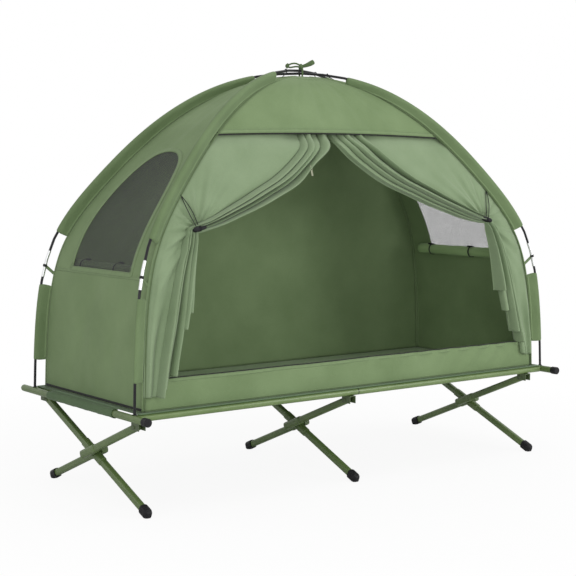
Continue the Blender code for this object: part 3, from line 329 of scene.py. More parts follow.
def new_finish(name):
    """A new material, its node tree, and the place on the piece in metres."""
    made = bpy.data.materials.new(name)
    made.use_nodes = True
    return made, made.node_tree, add_node(made.node_tree, "TexCoord", {}, "Object")


def finished(made, inputs):
    set_inputs(made.node_tree, made.node_tree.nodes["Principled BSDF"], inputs)
    return made


def cloth_finish(name, dark, light, across_axis="X", thread=190.0, sheen=0.10, roughness=0.78):
    """Woven polyester: fine crossing threads, faint crumple and uneven dye."""
    made, tree, where = new_finish(name)
    dye = times(tree, noise(tree, where, 5.0, 4.0, 0.55), 0.8)
    speck = times(tree, noise(tree, where, 420.0, 1.0, 0.4), 0.35)
    shade = spread(tree, math_node(tree, "ADD", dye, speck), 0.35, 0.82, 0.0, 1.0)
    weave = math_node(tree, "ADD", bands(tree, where, across_axis, thread), bands(tree, where, "Z", thread))
    height = math_node(tree, "ADD", times(tree, weave, 0.10), noise(tree, where, 34.0))
    inputs = {
        "Base Color": two_tones(tree, shade, dark, light),
        "Normal": bump(tree, height, 0.22, 0.0015),
        "Roughness": spread(tree, weave, 0.0, 2.0, roughness + 0.05, roughness - 0.05),
        "Sheen Weight": sheen,
        "Sheen Roughness": 0.45,
        "Specular IOR Level": 0.18,
    }
    return finished(made, inputs)


def tape_finish(name, dark, light, stitch):
    """Sewn tape or hem with two rows of stitches. Its UV is metres along it, and -1 to 1 across it."""
    made, tree, where = new_finish(name)
    uv = tree.nodes.new("ShaderNodeTexCoord").outputs["UV"]
    along = math_node(tree, "FRACT", times(tree, along_axis(tree, uv, "X"), STITCHES_PER_METRE))
    dash = math_node(tree, "GREATER_THAN", along, 0.32)
    line = near(tree, math_node(tree, "ABSOLUTE", along_axis(tree, uv, "Y")), 0.68, 0.085)
    thread = times(tree, dash, line)
    dye = noise(tree, where, 60.0)
    cloth = two_tones(tree, dye, dark, light)
    groove = math_node(tree, "SUBTRACT", dye, times(tree, line, 1.2))
    height = math_node(tree, "ADD", groove, times(tree, thread, 1.6))
    inputs = {
        "Base Color": two_tones(tree, thread, cloth, stitch),
        "Normal": bump(tree, height, 0.35, 0.0008),
        "Roughness": 0.75,
        "Sheen Weight": 0.1,
        "Specular IOR Level": 0.2,
    }
    return finished(made, inputs)


def net_finish(name, colour, opening):
    """Fine insect net: threads in two directions with open holes between."""
    made, tree, where = new_finish(name)
    clear = 1.0
    for axis in ("Y", "Z"):
        cell = math_node(tree, "FRACT", times(tree, along_axis(tree, where, axis), 1 / NET_CELL))
        clear = times(tree, clear, near(tree, cell, 0.5, opening / 2))
    inputs = {
        "Base Color": two_tones(tree, noise(tree, where, 40.0), colour, [c * 1.4 for c in colour]),
        "Alpha": math_node(tree, "SUBTRACT", 1.0, clear),
        "Roughness": 0.6,
    }
    made.blend_method = "HASHED"
    return finished(made, inputs)


def paint_finish(name, dark, light, roughness, seam_x=None):
    """Powder coat on steel tube: a fine orange peel, faint scuffs, and painted shade in the gap where two
    tubes meet.
    """
    made, tree, where = new_finish(name)
    cloud = noise(tree, where, 9.0, 4.0, 0.6)
    tone = two_tones(tree, spread(tree, cloud, 0.35, 0.65, 0.0, 1.0), dark, light)
    # painted shade: a dark band along the tube joint at seam_x
    if seam_x is not None:
        tone = two_tones(tree, near(tree, along_axis(tree, where, "X"), seam_x, 0.0021), tone, JOINT_SHADE_COLOUR)
    scuff = noise(tree, where, 70.0, 6.0, 0.75)
    inputs = {
        "Base Color": tone,
        "Normal": bump(tree, noise(tree, where, 900.0, 2.0), 0.12, 0.0006),
        "Roughness": spread(tree, scuff, 0.35, 0.75, roughness - 0.06, roughness + 0.14),
        "Coat Weight": 0.12,
        "Coat Roughness": 0.25,
    }
    return finished(made, inputs)


def plastic_finish(name, dark, light, roughness):
    """Moulded plastic with a fine grain."""
    made, tree, where = new_finish(name)
    cloud = noise(tree, where, 25.0, 3.0, 0.6)
    inputs = {
        "Base Color": two_tones(tree, cloud, dark, light),
        "Normal": bump(tree, noise(tree, where, 1300.0, 2.0, 0.6), 0.2, 0.0004),
        "Roughness": spread(tree, cloud, 0.3, 0.7, roughness - 0.07, roughness + 0.08),
        "Specular IOR Level": 0.16,
    }
    return finished(made, inputs)


def metal_finish(name, dark, light, roughness):
    """Plated or drawn metal with faint lines."""
    made, tree, where = new_finish(name)
    drawn = noise(tree, where, 380.0, 2.0, 0.6)
    inputs = {
        "Base Color": two_tones(tree, drawn, dark, light),
        "Normal": bump(tree, drawn, 0.08, 0.0003),
        "Roughness": spread(tree, drawn, 0.3, 0.7, roughness - 0.05, roughness + 0.1),
        "Metallic": 1.0,
    }
    return finished(made, inputs)


TENT = ((0.150, 0.218, 0.100), (0.205, 0.285, 0.142))
# Painted shade: the sleeve tones are the tent cloth's tones darkened, standing in for the shade on the pole
# sleeves and on the tapes made from them
SHADED_SLEEVE_TONES = ((0.122, 0.180, 0.082), (0.168, 0.238, 0.116))
CURTAIN = ((0.190, 0.262, 0.145), (0.248, 0.328, 0.195))
BED_HEM = ((0.120, 0.200, 0.100), (0.150, 0.238, 0.125))
# Painted light: the rail tones are the frame's olive paint made lighter, standing in for the light on the
# rails
LIT_RAIL_TONES = ((0.120, 0.188, 0.057), (0.150, 0.222, 0.076))
TENT_CLOTH = cloth_finish("sage tent cloth", *TENT)
END_CLOTH = cloth_finish("sage end wall cloth", *TENT, across_axis="Y")
CURTAIN_CLOTH = cloth_finish("pale sage curtain cloth", *CURTAIN, sheen=0.2, roughness=0.7)
BED_CLOTH = cloth_finish("teal green bed cloth", (0.068, 0.114, 0.054), (0.101, 0.157, 0.078), thread=150.0)
# Painted light: the floor cloth is the tent cloth made lighter, standing in for light on the floor strip
# behind the sill
LIT_FLOOR_CLOTH = cloth_finish("sage floor cloth lightened for painted light", (0.235, 0.335, 0.170), (0.290, 0.395, 0.220))
SLEEVE_CLOTH = cloth_finish("shade darkened sage sleeve cloth", *SHADED_SLEEVE_TONES)
ROLL_CLOTH = cloth_finish("light sage cover cloth", (0.235, 0.350, 0.155), (0.310, 0.440, 0.210))
BOW_CLOTH = cloth_finish("dark green bow cloth", (0.082, 0.130, 0.054), (0.118, 0.176, 0.080))
SLEEVE_TAPE = tape_finish("shade darkened sage tape", *SHADED_SLEEVE_TONES, (0.080, 0.115, 0.056))
TENT_TAPE = tape_finish("sage tent tape", *TENT, (0.115, 0.165, 0.080))
CURTAIN_TAPE = tape_finish("pale sage hem", *CURTAIN, (0.150, 0.210, 0.115))
BED_TAPE = tape_finish("teal green bed hem", *BED_HEM, (0.07, 0.12, 0.06))
BLACK_TAPE = tape_finish("black binding", (0.012, 0.014, 0.012), (0.024, 0.026, 0.022), (0.05, 0.05, 0.045))
NET = net_finish("dark insect net", (0.030, 0.030, 0.032), 0.76)
LEG_PAINT = paint_finish("olive leg paint", (0.082, 0.132, 0.038), (0.112, 0.170, 0.054), 0.42)
LIT_RAIL_PAINT = paint_finish("olive rail paint lightened for painted light", *LIT_RAIL_TONES, 0.40, seam_x=-0.015)
BRACKET_PAINT = paint_finish("dark olive bracket paint", (0.050, 0.078, 0.028), (0.066, 0.098, 0.036), 0.45)
BLACK_PLASTIC = plastic_finish("black moulded plastic", (0.010, 0.010, 0.011), (0.020, 0.020, 0.022), 0.5)
POLE_BLACK = plastic_finish("black glass fibre rod", (0.012, 0.012, 0.014), (0.024, 0.024, 0.026), 0.32)
BRIGHT_METAL = metal_finish("bright zinc plate", (0.55, 0.55, 0.54), (0.72, 0.72, 0.70), 0.28)
PULL_METAL = metal_finish("dull brass pull", (0.22, 0.23, 0.16), (0.34, 0.35, 0.26), 0.4)
FERRULE_METAL = metal_finish("drawn aluminium ferrule", (0.70, 0.71, 0.72), (0.86, 0.86, 0.87), 0.25)


# Sheets and tapes
def make_mesh(name, points, faces, look, uv=None):
    """A mesh object from points and faces, with UVs per point where given."""
    mesh = bpy.data.meshes.new(name)
    mesh.from_pydata([tuple(point) for point in points], [], faces)
    mesh.update()
    if uv is not None:
        layer = mesh.uv_layers.new(name="UVMap")
        for loop in mesh.loops:
            layer.data[loop.index].uv = uv[loop.vertex_index]
    made = bpy.data.objects.new(name, mesh)
    bpy.context.collection.objects.link(made)
    mesh.materials.append(look)
    for face in mesh.polygons:
        face.use_smooth = True
    return made


def grid_faces(rows, columns, closed=False, flip=False, capped=False):
    """The faces of a grid of points, row after row: closed round each row, or capped at both ends."""
    faces = []
    last = columns if closed else columns - 1
    for r in range(rows - 1):
        for c in range(last):
            a = r * columns + c
            b = r * columns + (c + 1) % columns
            face = (a, b, b + columns, a + columns)
            faces.append(face[::-1] if flip else face)
    if capped:
        faces.append(tuple(range(columns))[::-1])
        faces.append(tuple(range((rows - 1) * columns, rows * columns)))
    return faces


def keep_used(points, faces):
    """Only the points that faces use, and the faces by their new numbers."""
    used = sorted({v for face in faces for v in face})
    index_of = {old: new for new, old in enumerate(used)}
    return [points[v] for v in used], [tuple(index_of[v] for v in face) for face in faces]


def select(*pieces):
    bpy.ops.object.select_all(action="DESELECT")
    for piece in pieces:
        piece.select_set(True)
    if pieces:
        bpy.context.view_layer.objects.active = pieces[0]


def apply_all(piece):
    select(piece)
    for modifier in list(piece.modifiers):
        bpy.ops.object.modifier_apply(modifier=modifier.name)


def thicken(piece, thickness, offset=-1.0):
    made = piece.modifiers.new("thickness", "SOLIDIFY")
    made.thickness = thickness
    made.offset = offset
    made.use_even_offset = False
    apply_all(piece)
    return piece


def cloth_grid(name, grid, look, thickness=CLOTH, flip=False, offset=-1.0):
    """A sheet from rows of points, its outer face on the points and its thickness behind them."""
    grid = np.asarray(grid, float)
    rows, columns = grid.shape[:2]
    piece = make_mesh(name, grid.reshape(-1, 3), grid_faces(rows, columns, flip=flip), look)
    return thicken(piece, thickness, offset)


def unit(vectors):
    """Each row of an array of vectors at length one."""
    return vectors / np.linalg.norm(vectors, axis=-1)[:, None]


def tape(name, points, normals, width, look, thickness=0.0008, lift=0.0002):
    """A sewn strip along points, lying on the side that the normals point to, with stitch UVs."""
    points = np.asarray(points, float)
    normals = unit(np.broadcast_to(np.asarray(normals, float), points.shape))
    beside = unit(np.cross(unit(np.gradient(points, axis=0)), normals))
    steps = np.linalg.norm(np.diff(points, axis=0), axis=1)
    run = np.concatenate(([0], np.cumsum(steps)))
    section = ((-1, 0), (-0.92, 0.8), (-0.5, 1), (0, 0.9), (0.5, 1), (0.92, 0.8), (1, 0), (0, -0.3))
    verts = []
    uv = []
    for k in range(len(points)):
        for place, height in section:
            out = normals[k] * (lift + thickness * height)
            verts.append(points[k] + beside[k] * place * width / 2 + out)
            uv.append((run[k], place))
    faces = grid_faces(len(points), len(section), closed=True, capped=True)
    return face_outwards(make_mesh(name, verts, faces, look, uv))


def face_outwards(piece):
    body = bmesh.new()
    body.from_mesh(piece.data)
    bmesh.ops.recalc_face_normals(body, faces=body.faces)
    body.to_mesh(piece.data)
    body.free()
    return piece


def round_tube(name, points, radius, look, sides=12):
    """A round cord or rod through points, its radius one number or one for each point."""
    points = np.asarray(points, float)
    radius = np.broadcast_to(radius, len(points))
    along = unit(np.gradient(points, axis=0))
    beside = Vector(along[0]).orthogonal().normalized()
    verts = []
    for k, point in enumerate(points):
        direction = Vector(along[k])
        beside = (beside - direction * beside.dot(direction)).normalized()
        other = direction.cross(beside)
        for j in range(sides):
            turn = FULL_TURN * j / sides
            out = math.cos(turn) * beside + math.sin(turn) * other
            verts.append(Vector(point) + float(radius[k]) * out)
    return make_mesh(name, verts, grid_faces(len(points), sides, closed=True, capped=True), look)


def join(name, pieces):
    select(*pieces)
    bpy.ops.object.join()
    whole = bpy.context.active_object
    whole.name = name
    whole.data.name = name
    return whole


def on_tent(piece, *nodes, slot="tent_cloth"):
    """Puts a piece on the tent's body, in place of the soft solids it is the cloth of. The slot argument is
    not used.
    """
    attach(piece, "tent")
    if nodes:
        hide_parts(*nodes)
    return piece


def smooth_line(points, count):
    """A smooth line of count points through a few."""
    points = np.asarray(points, float)
    places = np.linspace(0, len(points) - 1, count)
    return np.stack([natural_curve(points[:, k])(places) for k in range(points.shape[1])], axis=1)


def smooth_step(value):
    value = np.clip(value, 0, 1)
    return value * value * (3 - 2 * value)


def hump(value, width):
    """A smooth hump, one at nothing and fading past a width."""
    return np.exp(-((value / width) ** 2))


def drawn_up(points):
    """Points of the tent's cloth with the peak drawn up a little by the tie."""
    points = np.array(points, float)
    points[..., 2] += 0.011 * smooth_step((points[..., 2] - 1.37) / 0.11)
    return points


# Tent walls
def end_wall_point(side, z, v):
    """A point of an end wall: v runs from -1 at the front seam to 1 at the rear seam."""
    free = (1 - v**2) * np.clip((z - WALL_FOOT) / 0.05, 0, 1) * np.clip((APEX - z) / 0.1, 0, 1)
    low = np.clip((0.80 - z) / 0.25, 0, 1)
    folds = 0.0014 * np.sin(FULL_TURN * 1.4 * v + 7.1 * z + side)
    folds = folds + 0.0006 * np.sin(FULL_TURN * 3.2 * v - 11 * z)
    soft = ripple(v, z, ((0.0022, 0.6, 0.9, 0.4), (0.0012, 1.3, 1.7, 2.0), (0.0007, 2.7, 3.4, 1.1)))
    out = free * (folds * low + soft - 0.003 * (1 - low)) * (1 - 0.85 * hump(z - WINDOW_BOTTOM, 0.06))
    x = side * (half_length(z) + out)
    return drawn_up(np.stack([x, v * half_width(z), np.broadcast_to(z, np.shape(x))], axis=-1))


def window_edge(grow=0.0, steps=120):
    """The window's outline as (y, z), from the lower right corner over the top and back along the sill."""
    half = WINDOW_HALF_WIDTH + grow
    turn = np.linspace(0, math.pi, steps)
    power = 2 / WINDOW_POWER
    y = np.sign(np.cos(turn)) * np.abs(np.cos(turn)) ** power * half
    z = WINDOW_BOTTOM - grow + np.sin(turn) ** power * (WINDOW_HEIGHT + 2 * grow)
    base_y = np.linspace(-half, half, steps // 2)[1:-1]
    base_z = np.full(len(base_y), WINDOW_BOTTOM - grow)
    return np.concatenate([y, base_y]), np.concatenate([z, base_z])


def on_end_wall(side, y, z):
    """The end wall's surface at y and z, and its outward direction there."""
    v = np.clip(y / half_width(z), -1, 1)
    point = end_wall_point(side, z, v)
    slope = (half_length(z - 0.004) - half_length(z + 0.004)) / 0.008
    return point, unit(np.stack([np.full(len(y), float(side)), np.zeros(len(y)), slope], axis=-1))


def in_window(y, z):
    wide = np.abs(y) / WINDOW_HALF_WIDTH
    high = (z - WINDOW_BOTTOM) / WINDOW_HEIGHT
    return high > 0 and wide**WINDOW_POWER + high**WINDOW_POWER < 1


def build_end_wall(name, side):
    """An end wall with its window cut out, the cut's points moved onto the window's outline."""
    heights = np.linspace(WALL_FOOT, APEX - 0.0005, 190)
    places = np.linspace(-1, 1, 97)
    grid = np.array([end_wall_point(side, np.full(len(places), z), places) for z in heights])
    flat = grid.reshape(-1, 3)
    edge_y, edge_z = window_edge()
    faces = []
    for face in grid_faces(len(heights), len(places), flip=side < 0):
        middle = flat[list(face)].mean(axis=0)
        if not in_window(middle[1], middle[2]):
            faces.append(face)
    counts = {}
    for face in faces:
        for a, b in zip(face, face[1:] + face[:1]):
            key = (min(a, b), max(a, b))
            counts[key] = counts.get(key, 0) + 1
    rim = {v for key, uses in counts.items() if uses == 1 for v in key}
    for index in rim:
        y, z = flat[index, 1], flat[index, 2]
        if abs(y) > WINDOW_HALF_WIDTH + 0.02 or z < WINDOW_BOTTOM - 0.02 or z > WINDOW_TOP + 0.02:
            continue
        if z > 1.0 and abs(abs(y) - half_width(z)) < 0.003:
            continue
        nearest = np.argmin(np.hypot(edge_y - y, edge_z - z))
        point, _ = on_end_wall(side, edge_y[[nearest]], edge_z[[nearest]])
        flat[index] = point[0]
    wall = make_mesh("end_wall_panel_" + name, *keep_used(flat, faces), END_CLOTH)
    thicken(wall, CLOTH)
    on_tent(wall, "end_wall_" + name)

    y, z = window_edge(grow=0.004)
    y = np.append(y, y[:2])
    z = np.append(z, z[:2])
    point, normal = on_end_wall(side, y, z)
    border = tape("window_border", point, normal, BORDER_WIDTH, TENT_TAPE, thickness=0.0014)
    inner = tape("window_border_inner", point - normal * CLOTH, -normal, BORDER_WIDTH, TENT_TAPE)
    on_tent(join("window_border_" + name, [border, inner]))

    strips = (
        ("wall_seam_", WINDOW_BOTTOM - 0.012, 0.985, 0.012, TENT_TAPE),
        ("floor_binding_", WALL_FOOT + 0.005, 0.995, 0.009, BLACK_TAPE),
    )
    for start, height, reach, width, look in strips:
        level = np.full(60, height)
        point, normal = on_end_wall(side, np.linspace(-reach, reach, 60) * half_width(level), level)
        on_tent(tape(start + name, point, normal, width, look))

    heights = np.linspace(WINDOW_BOTTOM - 0.008, WINDOW_TOP + 0.008, 60)
    places = np.linspace(-1, 1, 40)
    rows = []
    for z in heights:
        share = min(max((z - WINDOW_BOTTOM) / WINDOW_HEIGHT, 0), 0.999)
        wide = WINDOW_HALF_WIDTH * (1 - share**WINDOW_POWER) ** (1 / WINDOW_POWER) + 0.006
        wide = min(wide, half_width(z) - 0.004)
        point, normal = on_end_wall(side, places * wide, np.full(len(places), z))
        rows.append(point - normal * 0.0006)
    net = cloth_grid("window_mesh_" + name, rows, NET, thickness=0.0004, flip=side < 0)
    on_tent(net, "window_net_" + name, slot="window_net")


WALL_WAVES = (
    (0.0032, 0.9, 1.1, 0.3),
    (0.0018, 2.1, -1.7, 1.9),
    (0.0010, 4.3, 2.9, 0.7),
    (0.0007, 7.1, 1.3, 2.6),
)


def long_wall_point(side, z, share):
    """A point of the front or rear wall: share runs from -1 at the left seam to 1 at the right seam."""
    x = share * (half_length(z) - SEAM_MARGIN)
    free = (1 - share**2) * np.clip((z - WALL_FOOT) / 0.05, 0, 1) * np.clip((APEX - z) / 0.06, 0, 1)
    y = side * (half_width(z) + free * ripple(share, z, WALL_WAVES))
    return drawn_up(np.stack([x, y, np.broadcast_to(z, np.shape(x))], axis=-1))


def build_rear_wall():
    places = np.linspace(-1, 1, 161)
    rows = [long_wall_point(1, np.full(161, z), places) for z in np.linspace(WALL_FOOT, APEX - 0.004, 120)]
    wall = cloth_grid("rear_panel", rows, TENT_CLOTH, flip=True)
    on_tent(wall, "rear_wall")
    point = long_wall_point(1, np.full(120, WALL_FOOT + 0.006), np.linspace(-0.995, 0.995, 120))
    on_tent(tape("rear_foot_hem", point, (0, 1, 0), 0.010, TENT_TAPE))


def valance_line(share, rise=0.0):
    """The free lower edge of the front panel, bowed up in the middle."""
    z = VALANCE_EDGE + 0.010 * (1 - share**2) + rise
    return long_wall_point(-1, z, share)


def build_front_panel():
    places = np.linspace(-1, 1, 141)
    rows = []
    for step in np.linspace(0, 1, 44):
        z = VALANCE_EDGE + 0.010 * (1 - places**2) * (1 - step) ** 2
        z = z + (APEX - 0.004 - VALANCE_EDGE) * step
        point = long_wall_point(-1, z, places)
        point[:, 1] -= 0.007 * (1 - step) ** 6 * (1 - places**2)
        rows.append(point)
    panel = cloth_grid("front_valance", rows, TENT_CLOTH)
    on_tent(panel, "front_panel")
    share = np.linspace(-0.99, 0.99, 120)
    line = valance_line(share, 0.007)
    line[:, 1] -= 0.0068 * (1 - share**2)
    on_tent(tape("valance_hem", line, (0, -1, 0.25), 0.014, TENT_TAPE))
    # A black zip tape under the valance's edge; its black is painted shadow, the dark line that the valance
    # casts on the curtains
    line = valance_line(share, -0.0004)
    line[:, 1] += 0.0024 - 0.0045 * (1 - share**2)
    on_tent(tape("door_zip_top_shadow_line", line, (0, -1, 0), 0.011, BLACK_TAPE))


def build_sill():
    places = np.linspace(-1, 1, 181)
    rows = []
    for step in np.linspace(0, 1, 26):
        z = WALL_FOOT + (SILL_TOP - WALL_FOOT) * step
        point = long_wall_point(-1, np.full(len(places), z), places)
        diagonal_folds = ripple(places, step, ((0.0055, 9, -0.9, 0),)) * np.clip(places + 0.1, 0, 1)
        wide = ripple(places, step, ((0.0016, 2.3, -0.4, 0.7),))
        point[:, 1] -= (diagonal_folds + wide) * step * (1 - places**8)
        rows.append(point)
    sill = cloth_grid("door_sill_panel", rows, TENT_CLOTH)
    on_tent(sill, "door_sill")
    on_tent(tape("sill_top_hem", rows[-1] - (0, 0, 0.006), (0, -1, 0), 0.013, TENT_TAPE))
    on_tent(round_tube("sill_foot_cord", rows[1] - (0, 0.0008, 0), 0.0012, TENT_TAPE, sides=8))
    # A black zip cord along the back of the sill's top; its black is painted shadow, the dark line behind
    # the sill
    on_tent(round_tube("sill_zip_shadow_line", rows[-1] + (0, 0.0022, 0.0018), 0.0024, BLACK_TAPE, sides=10))


def build_floor_sheet():
    rows = []
    xs = np.linspace(-1, 1, 121)
    waves = ((0.0009, 2.3, 0.8, 0.2), (0.0006, 5.1, 1.7, 1.4))
    for v in np.linspace(-1, 1, 41):
        x = xs * (half_length(WALL_FOOT) - 0.002)
        y = np.full(121, v * (half_width(WALL_FOOT) - 0.002))
        free = (1 - xs**2) * (1 - v**2)
        z = WALL_FOOT - 0.0002 + free * (0.0012 + ripple(xs, v, waves))
        rows.append(np.stack([x, y, z], axis=-1))
    sheet = cloth_grid("tent_floor_sheet", rows, LIT_FLOOR_CLOTH, thickness=0.0018)
    on_tent(sheet, "tent_floor")


def build_corner_seams():
    """The turned seam down each corner, from the floor to the peak."""
    s, z = seam(np.linspace(0.3, 88.3, 110))
    outward = np.gradient(np.stack([z, -s], axis=1), axis=0)
    for corner in CORNERS:
        points = drawn_up([diagonal(corner, a, b) for a, b in zip(s, z)])
        normals = unit(np.array([diagonal(corner, a, b) for a, b in outward]))
        on_tent(round_tube("corner_seam_" + corner, points + normals * 0.001, 0.0022, TENT_TAPE, sides=8))
        on_tent(tape("corner_tape_" + corner, points - normals * 0.0045, -normals, 0.020, SLEEVE_TAPE))


def build_peak_patch():
    """The doubled cloth over the peak, where the four walls and the tie meet."""
    heights = np.linspace(APEX, 1.30, 200)
    lengths = half_length(heights)
    widths = half_width(heights)
    rows = []
    for reach in np.linspace(0.0, 1.0, 22):
        row = []
        for turn in np.linspace(0, FULL_TURN, 73):
            x = 0.135 * reach * math.cos(turn)
            y = 0.052 * reach * math.sin(turn)
            z = min(np.interp(abs(x), lengths, heights), np.interp(abs(y), widths, heights))
            row.append((x, y, z))
        row = drawn_up(row)
        row[:, 2] += 0.0016 * (1 - 0.5 * reach)
        rows.append(row)
    on_tent(cloth_grid("peak_patch", rows, TENT_CLOTH, flip=True))


# Pole sleeves and straps
# Places round half a sleeve's section, from its nose over the pole to the seam, and its width there
SLEEVE_SECTION = (
    (-1.0, 0.0),
    (-0.93, 0.30),
    (-0.62, 0.66),
    (-0.1, 0.90),
    (0.45, 1.0),
    (0.9, 0.95),
    (1.5, 0.72),
    (2.2, 0.46),
    (3.0, 0.22),
)


def seam_to_pole(corner, seam_degrees, pole_degrees, share):
    """A point between the seam and the pole at a corner."""
    seam_s, seam_z = seam(seam_degrees)
    s, z = arch(pole_degrees)
    return diagonal(corner, seam_s + (s - seam_s) * share, seam_z + (z - seam_z) * share)


def build_sleeve(kind, corner, start, end, half, stations):
    """A cloth sleeve along a pole, pinched at its ends, with a row of stitches on each side."""
    plane, over = across_pole(corner)
    outline = []
    nose = POLE_DIAMETER / 2 + 0.0017
    for station, degrees in enumerate(np.linspace(start, end, stations)):
        s, z = arch(degrees)
        z = z + over * CROSSING_LIFT * math.sin(math.radians(degrees)) ** 8
        seam_s, seam_z = seam(degrees)
        depth = math.hypot(s - seam_s, z - seam_z)
        run = station / (stations - 1)
        pinch = 1 - 0.10 * math.exp(-((run * (1 - run)) / 0.004))
        half_ring = [(a * nose if a <= 0 else a / 3.0 * (depth - 0.001), w) for a, w in SLEEVE_SECTION]
        half_ring.append((depth, 0.06))
        ring = half_ring + [(along, -wide) for along, wide in reversed(half_ring[1:])]
        for index, (along, wide) in enumerate(ring):
            crumple = 0.5 * math.sin(station * 0.9 + 2.2 * index)
            crumple += 0.5 * math.sin(station * 0.37 + 1.3 * index + 1.0)
            slack = math.sin(math.pi * min(max(along / depth, 0), 1))
            sideways = wide * half * pinch * (1 + 0.10 * crumple * slack)
            share = along / depth
            point = diagonal(corner, s + (seam_s - s) * share, z + (seam_z - z) * share)
            outline.append(point + plane * sideways)
    faces = grid_faces(stations, len(ring), closed=True, capped=True)
    sleeve = face_outwards(make_mesh(f"{kind}_sleeve_cloth_{corner}", outline, faces, SLEEVE_CLOTH))
    rounding = sleeve.modifiers.new("smooth", "SUBSURF")
    rounding.levels = 1
    apply_all(sleeve)
    on_tent(sleeve, f"{kind}_sleeve_{corner}")
    stitch = [seam_to_pole(corner, a, a, 0.14) for a in np.linspace(start + 0.4, end - 0.4, stations)]
    for name, sign in (("front", -1), ("rear", 1)):
        normal = plane * sign
        points = [point + normal * half * 0.30 for point in stitch]
        name = f"{kind}_sleeve_stitch_{name}_{corner}"
        on_tent(tape(name, points, normal, 0.007, TENT_TAPE, thickness=0.0006))


def build_straps():
    """Webbing from each tent corner round the pole's metal sleeve."""
    for corner in CORNERS:
        plane, _ = across_pole(corner)
        places = np.linspace(-0.02, 0.86, 12)
        points = [seam_to_pole(corner, STRAP_ANGLE - 1.2, STRAP_ANGLE, share) for share in places]
        name = "corner_strap_" + corner
        strap = tape(name, points, plane, 0.011, SLEEVE_TAPE, thickness=0.0012, lift=-0.0006)
        middle = diagonal(corner, *arch(STRAP_ANGLE))
        along = diagonal(corner, *arch(STRAP_ANGLE + 0.6)) - diagonal(corner, *arch(STRAP_ANGLE - 0.6))
        along.normalize()
        other = along.cross(plane)
        verts = []
        steps = 32
        for turn in np.linspace(0, FULL_TURN, steps + 1)[:-1]:
            out = plane * math.cos(turn) + other * math.sin(turn)
            for shift, radius in ((-0.005, 0.0060), (-0.0045, 0.0075), (0.0045, 0.0075), (0.005, 0.0060)):
                verts.append(middle + out * radius + along * shift)
        count = len(verts)
        faces = [tuple(v % count for v in face) for face in grid_faces(steps + 1, 4, closed=True)]
        ring = make_mesh("corner_loop", verts, faces, BLACK_TAPE, [(0, 0)] * count)
        on_tent(join(name, [strap, face_outwards(ring)]))


def build_pole_hooks():
    """Elastic loops with black hooks that hold the tent's top to the poles beside the crossing."""
    reach = POLE_DIAMETER / 2 + 0.0016
    for corner in CORNERS:
        plane, over = across_pole(corner)
        low = Vector(drawn_up([diagonal(corner, *seam(83.0))])[0])
        centre = diagonal(corner, *arch(84.8)) + Vector((0, 0, over * CROSSING_LIFT))
        points = [low, (low + centre) / 2 + plane * reach, centre + plane * reach]
        points += [centre + Vector((0, 0, reach)), centre - plane * reach * 0.9]
        hook = round_tube("pole_hook_" + corner, smooth_line(points, 30), 0.0015, BLACK_PLASTIC, sides=10)
        on_tent(hook, slot="black_plastic")


# Door curtains
TOGGLE_X = 0.672
TOGGLE_Z = 0.945
HEM_HEIGHT = 0.398
FLAT_SHARE = 0.42
SWAG = ((0.0, 1.0), (0.045, 0.80), (0.232, 0.53), (0.42, 0.32), (0.63, 0.15), (0.812, 0.05), (1.0, 0.0))
FALL = ((0.0, 1.0), (0.24, 0.75), (0.40, 0.50), (0.66, 0.25), (1.0, 0.0))
PLEATS = 5
MIDDLE_HEIGHT = 0.985
CURTAIN_ROWS = 174
ZIP_X = -0.1465
ZIP_PULL_HEIGHT = 1.150
# How far down each pleat's hem hangs, from the smooth part to the free edge
HEM_STEPS = {-1: (1.0, 0.96, 0.88, 0.60, 0.50), 1: (0.99, 0.90, 0.82, 0.66, 0.50)}


def along_table(table, share):
    """Two columns of a table as smooth curves, read at shares from its first row to its last."""
    place = share * (len(table) - 1)
    return [natural_curve(column)(place) for column in zip(*table)]


def curtain_outline(side, upper, lower, inner):
    """The seam's height and the free edge's place beside each point of a row, above or below the toggle."""
    swag_low = TOGGLE_Z - 0.014
    if lower == 0:
        share = np.full(len(inner), upper)
        outward, height = along_table(SWAG, share)
        tied = 0.016 * smooth_step((upper - 0.30) / 0.25) * smooth_step((1 - upper) / 0.3)
        outer_z = VALANCE_EDGE + (MIDDLE_HEIGHT - VALANCE_EDGE) * share
        inner_z = swag_low + (VALANCE_EDGE - swag_low) * height + tied
        return outer_z, 0.003 + (TOGGLE_X - 0.003) * outward, inner_z
    steps = HEM_STEPS[side]
    ends = np.full(len(inner), steps[0])
    for number in range(1, PLEATS):
        here = smooth_step((inner - number / PLEATS) / 0.012 + 0.5)
        ends = ends + (steps[number] - steps[number - 1]) * here
    share = lower * (1 + (ends - 1) * np.clip(inner * 40, 0, 1))
    outward, height = along_table(FALL, share)
    hem_x = half_length(HEM_HEIGHT) - 0.140
    outer_z = MIDDLE_HEIGHT + (HEM_HEIGHT - MIDDLE_HEIGHT) * share
    inner_z = HEM_HEIGHT + (swag_low - HEM_HEIGHT) * height
    return outer_z, TOGGLE_X + (hem_x - TOGGLE_X) * outward, inner_z


